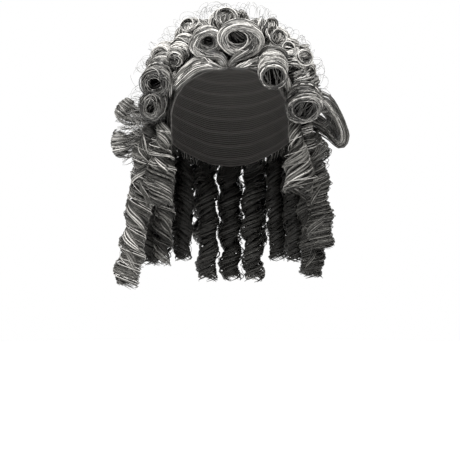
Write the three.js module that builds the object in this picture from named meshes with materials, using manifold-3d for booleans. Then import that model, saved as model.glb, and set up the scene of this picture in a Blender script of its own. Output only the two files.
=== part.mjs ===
// A powdered wig with a net cap, hair swept off the brow, rows of rolled curls and long ringlets.
// Millimetres, +Z up. The face opening looks along -Y. The origin is the top of the hollow for the
// head, in the middle of the crown. On the hollow a place is given by two angles: `around` grows
// from the middle of the brow to the +X side and on to the nape at 180, and `down` grows from
// the crown, through 90 at the widest level.
import * as THREE from "three";
import Module from "manifold-3d";

const wasm = await Module();
wasm.setup();

/** Rows of named values, from the names of the columns and the rows. */
function table(columns, ...rows) {
  return rows.map((row) => Object.fromEntries(columns.map((column, i) => [column, row[i]])));
}

// The hollow for the head, and the cap round it.
const HEAD_BREADTH = 150;
const HEAD_LENGTH = 190;
const CROWN_HEIGHT = 96;
const NAPE_DEPTH = 110;
const CAP_WALL = 2;
const GAP = 0.4;

// Driving sizes of the hair.
const SWEEP_THICKNESS = 6;
const SWEEP_OVERHANG = 3;
const SWEEP_EDGE = 0.6;
const SWEEP_WAVE = 0.15;
const ROLL_RADIUS = 18;
const ROLL_LENGTH = 38;
const BORE_SHARE = 0.58;
const BORE_DEPTH = 0.45;
const RINGLET_RADIUS = 12;
const RINGLET_DROP = 200;
const RINGLET_PITCH = 34;
const CORKSCREW = 0.16;
const LEAN_HANDLE = 0.8;
const HANG_HANDLE = 0.35;
const END_BULGE = 0.3;
const END_SHARE = 0.6;
const SEAT_SINK = 0.28;
const ROOT_SINK = 0.5;
const LOOP_REACH = 55;
const LOOP_DROP = 45;
const LOOP_WIDTH = 22;
const LOOP_THICKNESS = 9;
const LOOP_TWIST = 40;

// The cut below the cap's edge reaches past all else, from a tip near the middle of the head.
const CUT_REACH = 3;
const CUT_TIP = 0.001;

// The step in degrees that finds the way a place on the cap faces.
const PROBE = 0.5;

// Facets.
const HEAD_SIDES = 20;
const HEAD_ROWS = 11;
const ROLL_SIDES = 9;
const RINGLET_SIDES = 7;
const STATIONS_PER_TURN = 3;
const LOOP_STATIONS = 10;
const SWEEP_STEP = 8;
const SWEEP_ROWS = 3;

// The lower edge of the cap, the same on both sides.
const CAP_EDGE = table(
  ["around", "down"],
  [0, 60.7],
  [16, 61.5],
  [32, 66],
  [44, 71],
  [54, 80],
  [60, 90],
  [64, 106],
  [80, 106],
  [100, 102],
  [130, 110],
  [160, 118],
  [180, 119.5],
);

// Hair swept off the hairline: how far up from the edge it reaches, in degrees.
const SWEEPS = table(
  ["name", "from", "to", "reach", "waves"],
  ["sweep_front_left", -1, -50, 20, 3],
  ["sweep_front_right", 1, 46, 19, 3],
  ["sweep_side_left", -51, -66, 26, 1],
  ["sweep_side_right", 47, 64, 26, 1],
);

// Rolls round the brow, along the crest and at the sides. length is a share of ROLL_LENGTH, and
// radius and rise are shares of ROLL_RADIUS. turn is the way the roll lies, from straight down the
// head, and tilt lifts its far end off the head.
const ROLLS = table(
  ["name", "around", "down", "turn", "tilt", "length", "radius", "rise", "open"],
  ["brow_roll_centre", 8, 38, -8, 6, 0.75, 1.2, 0, true],
  ["brow_roll_left", -26, 37, 25, 5, 0.75, 0.92, 0, true],
  ["brow_roll_right", 41, 53, -27, 5, 1.0, 0.88, 0, true],
  ["temple_roll_left", -75, 61, 55, 8, 1.15, 0.93, 0, true],
  ["temple_roll_right", 68, 78, -50, 10, 1.0, 0.96, 0, true],
  ["ear_roll_left", -76, 84, 80, 14, 0.9, 0.85, 0, true],
  ["crest_roll_left_1", -38, 16, 75, 0, 0.85, 0.64, 0.1, false],
  ["crest_roll_top", -110, 12, 178, -7, 1.05, 0.64, 0, true],
  ["crest_roll_left_2", -64, 27, -80, 0, 0.8, 0.62, 0.1, false],
  ["crest_roll_left_3", -57, 41, 20, 0, 1.05, 0.7, 0.1, false],
  ["crest_roll_left_4", -92, 50, 75, 0, 0.9, 0.65, 0.45, true],
  ["crest_roll_right_1", 46, 24, 60, 0, 0.7, 0.64, 0.1, true],
  ["crest_roll_right_2", 64, 31, 75, 0, 0.75, 0.66, 0.12, true],
  ["crest_roll_right_3", 65, 62, 165, 8, 0.9, 0.62, 0.1, true],
  ["crest_roll_right_4", 88, 62, 180, 5, 0.7, 0.65, 0.6, true],
  ["side_roll_left_1", -92, 83, 0, 65, 1.3, 0.6, -0.25, true],
  ["side_roll_left_2", -97, 92, -10, 55, 1.5, 0.7, -0.25, true],
  ["side_roll_right", 73, 63, 8, 4, 0.75, 0.62, 0.15, false],
);

// Rows of rolls over the back of the crown, laid across the head.
const CROWN_ROWS = table(
  ["name", "count", "from", "to", "down", "length", "radius"],
  ["crown_roll_high", 3, 120, 240, 28, 1.0, 0.88],
  ["crown_roll_middle", 4, 112, 248, 49, 1.05, 0.92],
  ["crown_roll_low", 5, 110, 250, 72, 1.1, 0.92],
);

// Ringlets. lean, side and drop are shares of RINGLET_DROP, thick and tip of RINGLET_RADIUS. lean
// carries the ringlet outward, side carries it along the head, hug keeps it on the head, and
// flick swings its tip out.
const RINGLETS = table(
  ["name", "around", "down", "lean", "side", "drop", "hug", "flick", "thick", "tip"],
  ["ringlet_left_1", -84, 96, 0.11, -0.05, 0.92, 0.1, 0.08, 1.0, 1.15],
  ["ringlet_left_2", -67, 94, 0, -0.02, 0.48, 0.3, 0, 1.12, 1.1],
  ["ringlet_left_3", -101, 104, 0, 0, 0.72, 0.3, 0, 0.92, 0.88],
  ["ringlet_left_4", -114, 106, 0.13, 0, 0.7, 0.3, 0, 0.85, 0.8],
  ["ringlet_left_5", -131, 114, 0, 0, 0.6, 0.3, 0, 0.75, 0.7],
  ["ringlet_right_1", 89, 47, 0.18, 0, 0.27, 0, 0, 0.8, 0.7],
  ["ringlet_right_2", 78, 92, 0.03, 0, 0.2, 0.2, 0, 0.8, 0.78],
  ["ringlet_right_3", 62, 93, 0.02, 0.03, 0.42, 0.3, 0, 0.85, 1.3],
  ["ringlet_right_4", 86, 98, 0.11, 0, 0.68, 0.1, 0, 1.0, 1.05],
  ["ringlet_right_5", 98, 103, 0.08, 0, 0.8, 0.2, 0, 0.95, 1.0],
  ["ringlet_right_6", 112, 106, 0.02, 0, 0.68, 0.3, 0, 1.0, 0.9],
  ["ringlet_right_7", 131, 114, 0, 0, 0.6, 0.3, 0, 0.75, 0.7],
);

// Two tiers of ringlets across the nape.
const NAPE_TIERS = table(
  ["name", "count", "from", "to", "down", "lean", "drop", "hug", "thick", "tip"],
  ["ringlet_nape_upper", 7, 124, 236, 92, 0.07, 0.72, 0.3, 1.1, 0.95],
  ["ringlet_nape_lower", 3, 154, 206, 114, -0.07, 0.72, 0.3, 0.95, 0.85],
);

// The ribbon-like loop: shares of LOOP_REACH outward and back, and of LOOP_DROP down.
const LOOP_SEAT = { around: 84, down: 84 };
const LOOP_PATH = table(
  ["out", "down", "back"],
  [0.05, 0.0, 0.0],
  [0.5, -0.14, 0.0],
  [0.84, 0.22, 0.02],
  [1.0, 0.72, 0.05],
  [0.9, 0.97, 0.1],
  [0.6, 0.9, 0.16],
  [0.2, 0.66, 0.2],
);

const hair = new THREE.MeshStandardMaterial({ color: 0x8f8a84, roughness: 0.55, metalness: 0 });
const shade = new THREE.MeshStandardMaterial({ color: 0x55514d, roughness: 0.6, metalness: 0 });
const net = new THREE.MeshStandardMaterial({ color: 0x3b3734, roughness: 0.85, metalness: 0 });

const rad = THREE.MathUtils.degToRad;
const lerp = THREE.MathUtils.lerp;

/** A point `out` mm off the hollow for the head. */
function headPoint(around, down, out) {
  const a = rad(around);
  const u = rad(down);
  const height = (down <= 90 ? CROWN_HEIGHT : NAPE_DEPTH) + out;
  return new THREE.Vector3(
    (HEAD_BREADTH / 2 + out) * Math.sin(u) * Math.sin(a),
    -(HEAD_LENGTH / 2 + out) * Math.sin(u) * Math.cos(a),
    -CROWN_HEIGHT + height * Math.cos(u),
  );
}

/** The place on the cap at two angles, with the ways out, down and sideways from it. */
function seatAt(around, down) {
  const point = headPoint(around, down, CAP_WALL);
  const below = headPoint(around, down + PROBE, CAP_WALL).sub(headPoint(around, down - PROBE, CAP_WALL));
  const beside = headPoint(around + PROBE, down, CAP_WALL).sub(headPoint(around - PROBE, down, CAP_WALL));
  const downward = below.normalize();
  const outward = new THREE.Vector3().crossVectors(downward, beside).normalize();
  const sideways = new THREE.Vector3().crossVectors(outward, downward);
  return { point, outward, downward, sideways };
}

/** How far down the cap reaches at an angle around the head. */
function edgeDown(around) {
  let turned = Math.abs(around) % 360;
  if (turned > 180) turned = 360 - turned;
  const next = Math.max(1, CAP_EDGE.findIndex((row) => row.around >= turned));
  const a = CAP_EDGE[next - 1];
  const b = CAP_EDGE[next];
  return lerp(a.down, b.down, (turned - a.around) / (b.around - a.around));
}

/** A closed skin over rings of points, with a fan over each end. */
function loft(rings) {
  const sides = rings[0].length;
  const points = rings.flat();
  const middle = (ring) => ring.reduce((sum, p) => sum.add(p), new THREE.Vector3()).divideScalar(sides);
  points.push(middle(rings[0]), middle(rings[rings.length - 1]));
  const first = points.length - 2;
  const last = points.length - 1;
  const index = [];
  for (let j = 0; j < sides; j++) {
    const k = (j + 1) % sides;
    index.push(first, k, j);
    for (let i = 0; i + 1 < rings.length; i++) {
      const low = i * sides;
      const high = low + sides;
      index.push(low + j, low + k, high + j, low + k, high + k, high + j);
    }
    const end = (rings.length - 1) * sides;
    index.push(last, end + j, end + k);
  }
  const geometry = new THREE.BufferGeometry().setFromPoints(points);
  geometry.setIndex(index);
  return geometry;
}

/** A solid that can be cut and joined, from a closed geometry. */
function solidOf(geometry) {
  return new wasm.Manifold(new wasm.Mesh({
    numProp: 3,
    vertProperties: new Float32Array(geometry.attributes.position.array),
    triVerts: new Uint32Array(geometry.index.array),
  }));
}

/** A geometry from a solid. */
function geometryOf(solid) {
  const mesh = solid.getMesh();
  const geometry = new THREE.BufferGeometry();
  geometry.setAttribute("position", new THREE.BufferAttribute(new Float32Array(mesh.vertProperties), 3));
  geometry.setIndex(new THREE.BufferAttribute(new Uint32Array(mesh.triVerts), 1));
  return geometry;
}

/** The egg shape of the head, grown by `out`. */
function headSolid(out) {
  const rings = [];
  for (let row = 1; row < HEAD_ROWS; row++) {
    const ring = [];
    const down = row * 180 / HEAD_ROWS;
    for (let j = 0; j < HEAD_SIDES; j++) ring.push(headPoint(-j * 360 / HEAD_SIDES, down, out));
    rings.push(ring);
  }
  return solidOf(loft(rings));
}

/** All that lies below the lower edge of the cap. */
function belowEdge() {
  const centre = new THREE.Vector3(0, 0, -CROWN_HEIGHT);
  const floor = -CUT_REACH * (CROWN_HEIGHT + NAPE_DEPTH);
  const tip = [];
  const rim = [];
  const base = [];
  const steps = 2 * HEAD_SIDES;
  for (let j = 0; j < steps; j++) {
    const around = -j * 360 / steps;
    const edge = headPoint(around, edgeDown(around), 0).sub(centre).multiplyScalar(CUT_REACH).add(centre);
    tip.push(new THREE.Vector3().lerpVectors(centre, edge, CUT_TIP));
    rim.push(edge);
    base.push(new THREE.Vector3(edge.x, edge.y, floor));
  }
  return solidOf(loft([tip, rim, base]));
}

/** Rings of points along a curve. radiusAt and offsetAt take the share of the way along it. */
function ringsAlong(curve, stations, sides, radiusAt, offsetAt) {
  const frames = curve.computeFrenetFrames(stations, false);
  const rings = [];
  for (let i = 0; i <= stations; i++) {
    const share = i / stations;
    const centre = curve.getPointAt(share);
    const shift = offsetAt(share);
    const ring = [];
    for (let j = 0; j < sides; j++) {
      const angle = j * 2 * Math.PI / sides;
      const across = radiusAt(share) * Math.cos(angle) + shift.x;
      const along = radiusAt(share) * Math.sin(angle) + shift.y;
      ring.push(centre.clone().addScaledVector(frames.normals[i], across)
        .addScaledVector(frames.binormals[i], along));
    }
    rings.push(ring);
  }
  return { rings, frames };
}

/** Moves a copy of a ring along a way, and shrinks it to a share of its size about its middle. */
function endRing(ring, way, distance, share) {
  const middle = ring.reduce((sum, p) => sum.add(p), new THREE.Vector3()).divideScalar(ring.length);
  return ring.map((p) => new THREE.Vector3().lerpVectors(middle, p, share).addScaledVector(way, distance));
}

/** A curl of hair along a curve, grown by `grow` where it only marks the room that it takes. */
function curlSolid(curl, grow) {
  const { curve, stations, sides, thick, tip, pitch, hand, open } = curl;
  const length = curve.getLength();
  const radiusAt = (share) => lerp(thick, tip, share) + grow;
  const offsetAt = (share) => {
    const turn = pitch > 0 ? hand * 2 * Math.PI * share * length / pitch : 0;
    const size = pitch > 0 ? CORKSCREW * lerp(thick, tip, share) : 0;
    return new THREE.Vector2(Math.cos(turn), Math.sin(turn)).multiplyScalar(size);
  };
  const { rings, frames } = ringsAlong(curve, stations, sides, radiusAt, offsetAt);
  const start = frames.tangents[0];
  const end = frames.tangents[stations];
  const inner = rings[0];
  const outer = rings[stations];
  const skin = [endRing(inner, start, -END_BULGE * thick - grow, END_SHARE), ...rings];
  if (open && grow === 0) {
    skin.push(endRing(outer, end, 0, BORE_SHARE));
    skin.push(endRing(outer, end, -BORE_DEPTH * length, BORE_SHARE));
  } else if (open) {
    skin.push(endRing(outer, end, grow, 1));
  } else {
    skin.push(endRing(outer, end, END_BULGE * tip + grow, END_SHARE));
  }
  return solidOf(loft(skin));
}

/** A straight roll seated on the cap. */
function rollCurl({ around, down, turn, tilt, length, radius, rise, open }) {
  const seat = seatAt(around, down);
  const size = radius * ROLL_RADIUS;
  const lift = (1 - SEAT_SINK) * size + rise * ROLL_RADIUS;
  const root = seat.point.clone().addScaledVector(seat.outward, lift);
  const way = new THREE.Vector3()
    .addScaledVector(seat.downward, Math.cos(rad(tilt)) * Math.cos(rad(turn)))
    .addScaledVector(seat.sideways, Math.cos(rad(tilt)) * Math.sin(rad(turn)))
    .addScaledVector(seat.outward, Math.sin(rad(tilt)));
  const curve = new THREE.LineCurve3(root, root.clone().addScaledVector(way, length * ROLL_LENGTH));
  return { curve, stations: 1, sides: ROLL_SIDES, thick: size, tip: size, pitch: 0, hand: 1, open };
}

/** A roll laid across the head and bent to it. */
function crownCurl({ around, down, length, radius }) {
  const size = radius * ROLL_RADIUS;
  const ends = [-0.5, 0, 0.5].map((share) => {
    const seat = seatAt(around, down);
    const reach = share * length * ROLL_LENGTH;
    const rough = seat.point.clone().addScaledVector(seat.sideways, reach);
    const bend = Math.hypot(rough.x, rough.y) / Math.max(1, Math.hypot(seat.point.x, seat.point.y));
    rough.x /= bend;
    rough.y /= bend;
    return rough.addScaledVector(seat.outward, (1 - SEAT_SINK) * size);
  });
  const curve = new THREE.QuadraticBezierCurve3(ends[0], ends[1], ends[2]);
  return { curve, stations: 2, sides: ROLL_SIDES, thick: size, tip: size, pitch: 0, hand: 1, open: true };
}

/** A ringlet that leaves the cap, follows the head and hangs. */
function ringletCurl({ around, down, lean, side, drop, hug, flick, thick, tip }) {
  const seat = seatAt(around, down);
  const size = thick * RINGLET_RADIUS;
  const fall = drop * RINGLET_DROP;
  const away = new THREE.Vector3(Math.sin(rad(around)), -Math.cos(rad(around)), 0);
  const along = new THREE.Vector3(Math.cos(rad(around)), Math.sin(rad(around)), 0);
  const root = seat.point.clone().addScaledVector(seat.outward, (1 - ROOT_SINK) * size);
  const end = root.clone()
    .addScaledVector(away, (lean + flick) * RINGLET_DROP)
    .addScaledVector(along, side * RINGLET_DROP);
  end.z -= fall;
  const near = root.clone()
    .addScaledVector(seat.downward, hug * fall)
    .addScaledVector(away, LEAN_HANDLE * lean * RINGLET_DROP);
  const far = end.clone().addScaledVector(away, -flick * RINGLET_DROP);
  far.z += HANG_HANDLE * fall;
  const curve = new THREE.CubicBezierCurve3(root, near, far, end);
  const turns = curve.getLength() / RINGLET_PITCH;
  return {
    curve, stations: Math.max(3, Math.round(turns * STATIONS_PER_TURN)), sides: RINGLET_SIDES,
    thick: size, tip: tip * RINGLET_RADIUS, pitch: RINGLET_PITCH, hand: Math.sign(around), open: false,
  };
}

/** The ribbon-like loop at the right. */
function loopSolid(grow) {
  const seat = seatAt(LOOP_SEAT.around, LOOP_SEAT.down);
  const points = LOOP_PATH.map((row) => seat.point.clone()
    .add(new THREE.Vector3(row.out * LOOP_REACH, row.back * LOOP_REACH, -row.down * LOOP_DROP)));
  const curve = new THREE.CatmullRomCurve3(points);
  const frames = curve.computeFrenetFrames(LOOP_STATIONS, false);
  const rings = [];
  for (let i = 0; i <= LOOP_STATIONS; i++) {
    const centre = curve.getPointAt(i / LOOP_STATIONS);
    const wide = frames.normals[i].clone().applyAxisAngle(frames.tangents[i], rad(LOOP_TWIST));
    const thin = new THREE.Vector3().crossVectors(frames.tangents[i], wide);
    const ring = [];
    for (let j = 0; j < RINGLET_SIDES; j++) {
      const angle = j * 2 * Math.PI / RINGLET_SIDES;
      ring.push(centre.clone()
        .addScaledVector(wide, (LOOP_WIDTH / 2 + grow) * Math.cos(angle))
        .addScaledVector(thin, (LOOP_THICKNESS / 2 + grow) * Math.sin(angle)));
    }
    rings.push(ring);
  }
  return solidOf(loft(rings));
}

/** Hair swept off the hairline, as a wavy pad that thins to its ends. */
function sweepSolid({ from, to, reach, waves }) {
  const low = Math.min(from, to);
  const high = Math.max(from, to);
  const columns = Math.ceil((high - low) / SWEEP_STEP);
  const rings = [];
  for (let i = 0; i <= columns; i++) {
    const across = i / columns;
    const around = lerp(low, high, across);
    const wave = SWEEP_WAVE * (1 - Math.cos(2 * Math.PI * waves * across));
    const thickness = SWEEP_THICKNESS * (1 - wave);
    const foot = edgeDown(around) + SWEEP_OVERHANG;
    const head = foot - reach;
    const ring = [headPoint(around, foot, -SWEEP_THICKNESS), headPoint(around, head, -SWEEP_THICKNESS)];
    for (let j = 0; j <= SWEEP_ROWS; j++) {
      const share = j / SWEEP_ROWS;
      const bulge = Math.sqrt(Math.max(0, 1 - (1 - 2 * share) ** 2));
      const out = CAP_WALL + thickness * lerp(SWEEP_EDGE, 1, bulge);
      ring.push(headPoint(around, lerp(head, foot, share), out));
    }
    rings.push(ring);
  }
  return solidOf(loft(rings));
}

const wig = new THREE.Group();
const keepOut = headSolid(CAP_WALL + GAP);
const placed = [];

/** Whether two solids' boxes meet. */
function boxesMeet(a, b) {
  const p = a.boundingBox();
  const q = b.boundingBox();
  return [0, 1, 2].every((i) => p.min[i] < q.max[i] && q.min[i] < p.max[i]);
}

/** The largest piece of a solid that a cut may have parted. */
function largest(solid) {
  return solid.decompose().sort((a, b) => b.volume() - a.volume())[0];
}

/** Adds one piece, cut clear of the head and of the room that earlier pieces take. */
function addPiece(group, name, material, solid, room) {
  let cut = solid.subtract(keepOut);
  for (const other of placed) if (boxesMeet(cut, other)) cut = cut.subtract(other);
  cut = largest(cut);
  if (room) placed.push(room);
  const geometry = geometryOf(cut);
  geometry.computeBoundingBox();
  const middle = geometry.boundingBox.getCenter(new THREE.Vector3());
  geometry.translate(-middle.x, -middle.y, -middle.z);
  const mesh = new THREE.Mesh(geometry, material);
  mesh.name = name;
  mesh.position.copy(middle);
  group.add(mesh);
}

/** Adds one curl. */
function addCurl(group, name, material, curl) {
  addPiece(group, name, material, curlSolid(curl, 0), curlSolid(curl, GAP));
}

const shell = headSolid(CAP_WALL).subtract(headSolid(0)).subtract(belowEdge());
const cap = new THREE.Mesh(geometryOf(largest(shell)), net);
cap.name = "cap";
wig.add(cap);

const front = new THREE.Group();
for (const row of ROLLS) addCurl(front, row.name, hair, rollCurl(row));
wig.add(front);

const sides = new THREE.Group();
addPiece(sides, "side_loop_right", hair, loopSolid(0), loopSolid(GAP));
for (const row of RINGLETS) addCurl(sides, row.name, shade, ringletCurl(row));
wig.add(sides);

const back = new THREE.Group();
for (const row of CROWN_ROWS) {
  for (let i = 0; i < row.count; i++) {
    const around = lerp(row.from, row.to, row.count > 1 ? i / (row.count - 1) : 0.5);
    addCurl(back, `${row.name}_${i + 1}`, hair, crownCurl({ ...row, around }));
  }
}
for (const row of NAPE_TIERS) {
  for (let i = 0; i < row.count; i++) {
    const around = lerp(row.from, row.to, i / (row.count - 1));
    addCurl(back, `${row.name}_${i + 1}`, shade, ringletCurl({ ...row, around, side: 0, flick: 0 }));
  }
}
wig.add(back);

const sweeps = new THREE.Group();
for (const row of SWEEPS) addPiece(sweeps, row.name, hair, sweepSolid(row));
wig.add(sweeps);

export default wig;
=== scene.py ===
"""A powdered wig: strands of grey hair in rolls, ringlets and sweeps over a net cap."""
import logging
import math
from dataclasses import dataclass, field
from enum import Enum

import bpy
import numpy as np
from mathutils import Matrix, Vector


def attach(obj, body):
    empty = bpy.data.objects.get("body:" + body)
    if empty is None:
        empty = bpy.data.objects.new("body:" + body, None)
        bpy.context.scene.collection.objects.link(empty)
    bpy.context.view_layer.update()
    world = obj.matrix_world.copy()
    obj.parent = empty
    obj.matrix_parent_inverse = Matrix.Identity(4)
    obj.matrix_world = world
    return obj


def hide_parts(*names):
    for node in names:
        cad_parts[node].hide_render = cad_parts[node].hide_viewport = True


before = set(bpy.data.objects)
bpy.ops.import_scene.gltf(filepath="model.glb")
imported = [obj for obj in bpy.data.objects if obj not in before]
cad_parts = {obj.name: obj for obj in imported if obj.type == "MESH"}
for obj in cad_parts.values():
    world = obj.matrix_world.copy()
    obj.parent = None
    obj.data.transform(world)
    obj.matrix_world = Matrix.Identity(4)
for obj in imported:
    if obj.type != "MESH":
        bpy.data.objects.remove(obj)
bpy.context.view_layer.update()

BODY = "root"
CHART = "OFBake"
TONE = "shade"
TAU = 2 * math.pi
FRONT = np.array([0.0, -1.0, 0.0])
UP = np.array([0.0, 0.0, 1.0])
Colour = tuple[float, float, float]
Socket = bpy.types.NodeSocket

log = logging.getLogger("wig")


class Slot(Enum):
    """The record's material slots."""

    SILVER = "silver_hair"
    SHADED = "shaded_hair"
    NET = "cap_net"


class Wind(Enum):
    """Which way a curl turns, as seen by one who looks into its mouth."""

    CLOCKWISE = -1
    COUNTER = 1


def unit(vectors: np.ndarray) -> np.ndarray:
    """Vectors scaled to a length of one, along the last axis."""
    return vectors / np.maximum(np.linalg.norm(vectors, axis=-1, keepdims=True), 1e-12)


def blend(low: float, high: float, share: np.ndarray) -> np.ndarray:
    """The values that lie a share of the way from low to high."""
    return low + (high - low) * share


def ease(share: np.ndarray) -> np.ndarray:
    """A share from 0 to 1 that starts and ends slowly."""
    held = np.clip(share, 0, 1)
    return held * held * (3 - 2 * held)


def arch(share: np.ndarray) -> np.ndarray:
    """A height that grows from 0 to 1 and falls back to 0."""
    return np.sin(math.pi * share)


def shares(steps: int) -> np.ndarray:
    """Shares from 0 to 1 along a strand, as a row."""
    return np.linspace(0, 1, steps)[None]


def each(rng: np.random.Generator, low: float, high: float, count: int) -> np.ndarray:
    """A random value for each strand, as a column."""
    return rng.uniform(low, high, (count, 1))


@dataclass(frozen=True)
class Seat:
    """A place on the outside of the cap, with the ways out of it, down it and along it."""

    point: np.ndarray
    outward: np.ndarray
    downward: np.ndarray
    sideways: np.ndarray


@dataclass(frozen=True)
class HeadForm:
    """The hollow for the head. Angles are in degrees: around from the brow, down from the crown."""

    breadth: float = 0.150
    length: float = 0.190
    crown: float = 0.096
    nape: float = 0.110
    wall: float = 0.002
    probe: float = 0.5
    edge_around: tuple[float, ...] = (0, 16, 32, 44, 54, 60, 64, 80, 100, 130, 160, 180)
    edge_down: tuple[float, ...] = (60.7, 61.5, 66, 71, 80, 90, 106, 106, 102, 110, 118, 119.5)

    def point(self, around: np.ndarray, down: np.ndarray, out: np.ndarray) -> np.ndarray:
        """Finds points by their angles and their distance off the hollow.

        Args:
            around: degrees from the middle of the brow, towards +X.
            down: degrees from the crown.
            out: metres off the hollow.

        Returns:
            The points, with x, y and z on the last axis.
        """
        turn = np.radians(around)
        drop = np.radians(down)
        height = np.where(np.asarray(down) <= 90, self.crown, self.nape) + out
        x = (self.breadth / 2 + out) * np.sin(drop) * np.sin(turn)
        y = -(self.length / 2 + out) * np.sin(drop) * np.cos(turn)
        z = -self.crown + height * np.cos(drop)
        return np.stack(np.broadcast_arrays(x, y, z), axis=-1)

    def seat(self, around: float, down: float) -> Seat:
        """Finds a place on the outside of the cap, by its two angles."""
        below = self.point(around, down + self.probe, self.wall)
        above = self.point(around, down - self.probe, self.wall)
        right = self.point(around + self.probe, down, self.wall)
        left = self.point(around - self.probe, down, self.wall)
        downward = unit(below - above)
        outward = unit(np.cross(downward, right - left))
        return Seat(self.point(around, down, self.wall), outward, downward, np.cross(outward, downward))

    def edge(self, around: np.ndarray) -> np.ndarray:
        """How far down the cap reaches, in degrees, at angles around the head."""
        return np.interp(turned_from_brow(around), self.edge_around, self.edge_down)

    def clear(self, points: np.ndarray, out: float) -> np.ndarray:
        """Pushes points that lie too near the head straight off it.

        Args:
            points: the points, of any shape with x, y and z last.
            out: the least distance off the hollow, in metres.

        Returns:
            The points, with those inside moved out.
        """
        middle = -self.crown * UP
        reach = points - middle
        height = np.where(reach[..., 2] >= 0, self.crown, self.nape) + out
        size = np.stack(np.broadcast_arrays(self.breadth / 2 + out, self.length / 2 + out, height), axis=-1)
        level = np.linalg.norm(reach / size, axis=-1, keepdims=True)
        return middle + reach / np.clip(level, 1e-6, 1)


def turned_from_brow(around: np.ndarray) -> np.ndarray:
    """How far angles around the head are from the brow, to either side, in degrees."""
    return np.abs((np.asarray(around, float) + 180) % 360 - 180)


@dataclass(frozen=True)
class HairSizes:
    """The driving sizes of the hair. Lengths are in metres, and the others are shares of them.

    The handles shape the line of a ringlet, seat_sink and root_sink say how deep a roll and a ringlet
    sink into the cap, and sweep_overhang is how far the swept hair hangs past the cap, in degrees.
    """

    roll_radius: float = 0.018
    roll_length: float = 0.038
    ringlet_radius: float = 0.012
    ringlet_drop: float = 0.200
    ringlet_pitch: float = 0.034
    corkscrew: float = 0.16
    lean_handle: float = 0.8
    hang_handle: float = 0.35
    seat_sink: float = 0.28
    root_sink: float = 0.5
    sweep_thickness: float = 0.006
    sweep_overhang: float = 3.0
    strand: float = 0.00092
    loose: float = 0.0006
    weft: float = 0.0016
    spacing: float = 0.00066
    strand_gap: float = 0.0009
    core_gap: float = 0.0003


HEAD = HeadForm()
SIZES = HairSizes()


def off_cap(points: np.ndarray) -> np.ndarray:
    """Strands moved to where they clear the cap."""
    return HEAD.clear(points, HEAD.wall + SIZES.strand_gap)


class Spine:
    """A smooth line with a steady frame, which curls are wound round."""

    def __init__(self, points: np.ndarray, side: np.ndarray) -> None:
        """Lays the frame along the line.

        Args:
            points: points along the line, close enough to take as straight between.
            side: the way that angle 0 looks, at the start.
        """
        self.points = points
        steps = np.linalg.norm(np.diff(points, axis=0), axis=1)
        self.marks = np.concatenate([[0], np.cumsum(steps)])
        self.length = float(self.marks[-1])
        self.ways = unit(np.gradient(points, axis=0))
        self.sides = np.empty_like(points)
        for i, way in enumerate(self.ways):
            side = unit(side - way * np.dot(side, way))
            self.sides[i] = side
        self.others = np.cross(self.ways, self.sides)

    def read(self, table: np.ndarray, along: np.ndarray) -> np.ndarray:
        """Reads a table of vectors at distances along the line."""
        return np.stack([np.interp(along, self.marks, table[:, i]) for i in range(3)], axis=-1)

    def offset(self, along: np.ndarray, across: np.ndarray, beside: np.ndarray) -> np.ndarray:
        """Steps off the line, so far along its sides and so far along its other sides."""
        aside = self.read(self.sides, along) * across[..., None]
        return aside + self.read(self.others, along) * beside[..., None]

    def place(self, along: np.ndarray, radius: np.ndarray, angle: np.ndarray) -> np.ndarray:
        """Finds points round the line.

        Args:
            along: metres along the line, which may run past its ends.
            radius: metres off the line.
            angle: radians round the line.

        Returns:
            The points.
        """
        past = along - np.clip(along, 0, self.length)
        centre = self.read(self.points, along) + self.read(self.ways, along) * past[..., None]
        return centre + self.offset(along, radius * np.cos(angle), radius * np.sin(angle))


def bezier(handles: list[np.ndarray], samples: int) -> np.ndarray:
    """Points along a Bezier curve with any number of handles, one point a row."""
    share = np.linspace(0, 1, samples)[:, None]
    levels = [np.asarray(handle, float)[None] for handle in handles]
    while len(levels) > 1:
        levels = [blend(a, b, share) for a, b in zip(levels, levels[1:])]
    return levels[0]


def lead_in(start: np.ndarray, leave: np.ndarray, wound: np.ndarray, samples: int) -> np.ndarray:
    """Joins the foot of a strand to the path on which it winds.

    Args:
        start: its foot.
        leave: the way that it leaves its foot, as long as its pull on the curve.
        wound: the points of the path.
        samples: how many points lead there.

    Returns:
        The points of the whole strand.
    """
    gap = np.linalg.norm(wound[0] - start)
    near = wound[0] - unit(wound[1] - wound[0]) * 0.4 * gap
    return np.concatenate([bezier([start, start + leave * gap, near, wound[0]], samples + 1)[:-1], wound])


def through(points: np.ndarray, samples: int) -> np.ndarray:
    """Points along a smooth curve that passes through the given ones, evenly spread over its spans."""
    padded = np.concatenate([2 * points[:1] - points[1:2], points, 2 * points[-1:] - points[-2:-1]])
    place = np.linspace(0, len(points) - 1, samples)
    span = np.minimum(place.astype(int), len(points) - 2)
    t = (place - span)[:, None]
    p0, p1, p2, p3 = (padded[span + i] for i in range(4))
    bend = (p2 - p0) * t + (2 * p0 - 5 * p1 + 4 * p2 - p3) * t ** 2 + (3 * p1 - p0 - 3 * p2 + p3) * t ** 3
    return p1 + bend / 2


def drift(rng: np.random.Generator, rows: int, steps: int, size: float, waves: float = 1.0) -> np.ndarray:
    """Slow random waves, one row a strand.

    Args:
        rng: the source of chance.
        rows: how many strands.
        steps: how many points along each.
        size: about how far a strand strays.
        waves: about how many waves lie along it.

    Returns:
        How far each point strays.
    """
    total = np.zeros((rows, steps))
    for octave in (1, 2):
        height = rng.normal(0, size / octave, (rows, 1))
        total += height * np.sin(TAU * waves * octave * shares(steps) + each(rng, 0, TAU, rows))
    return total


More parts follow.
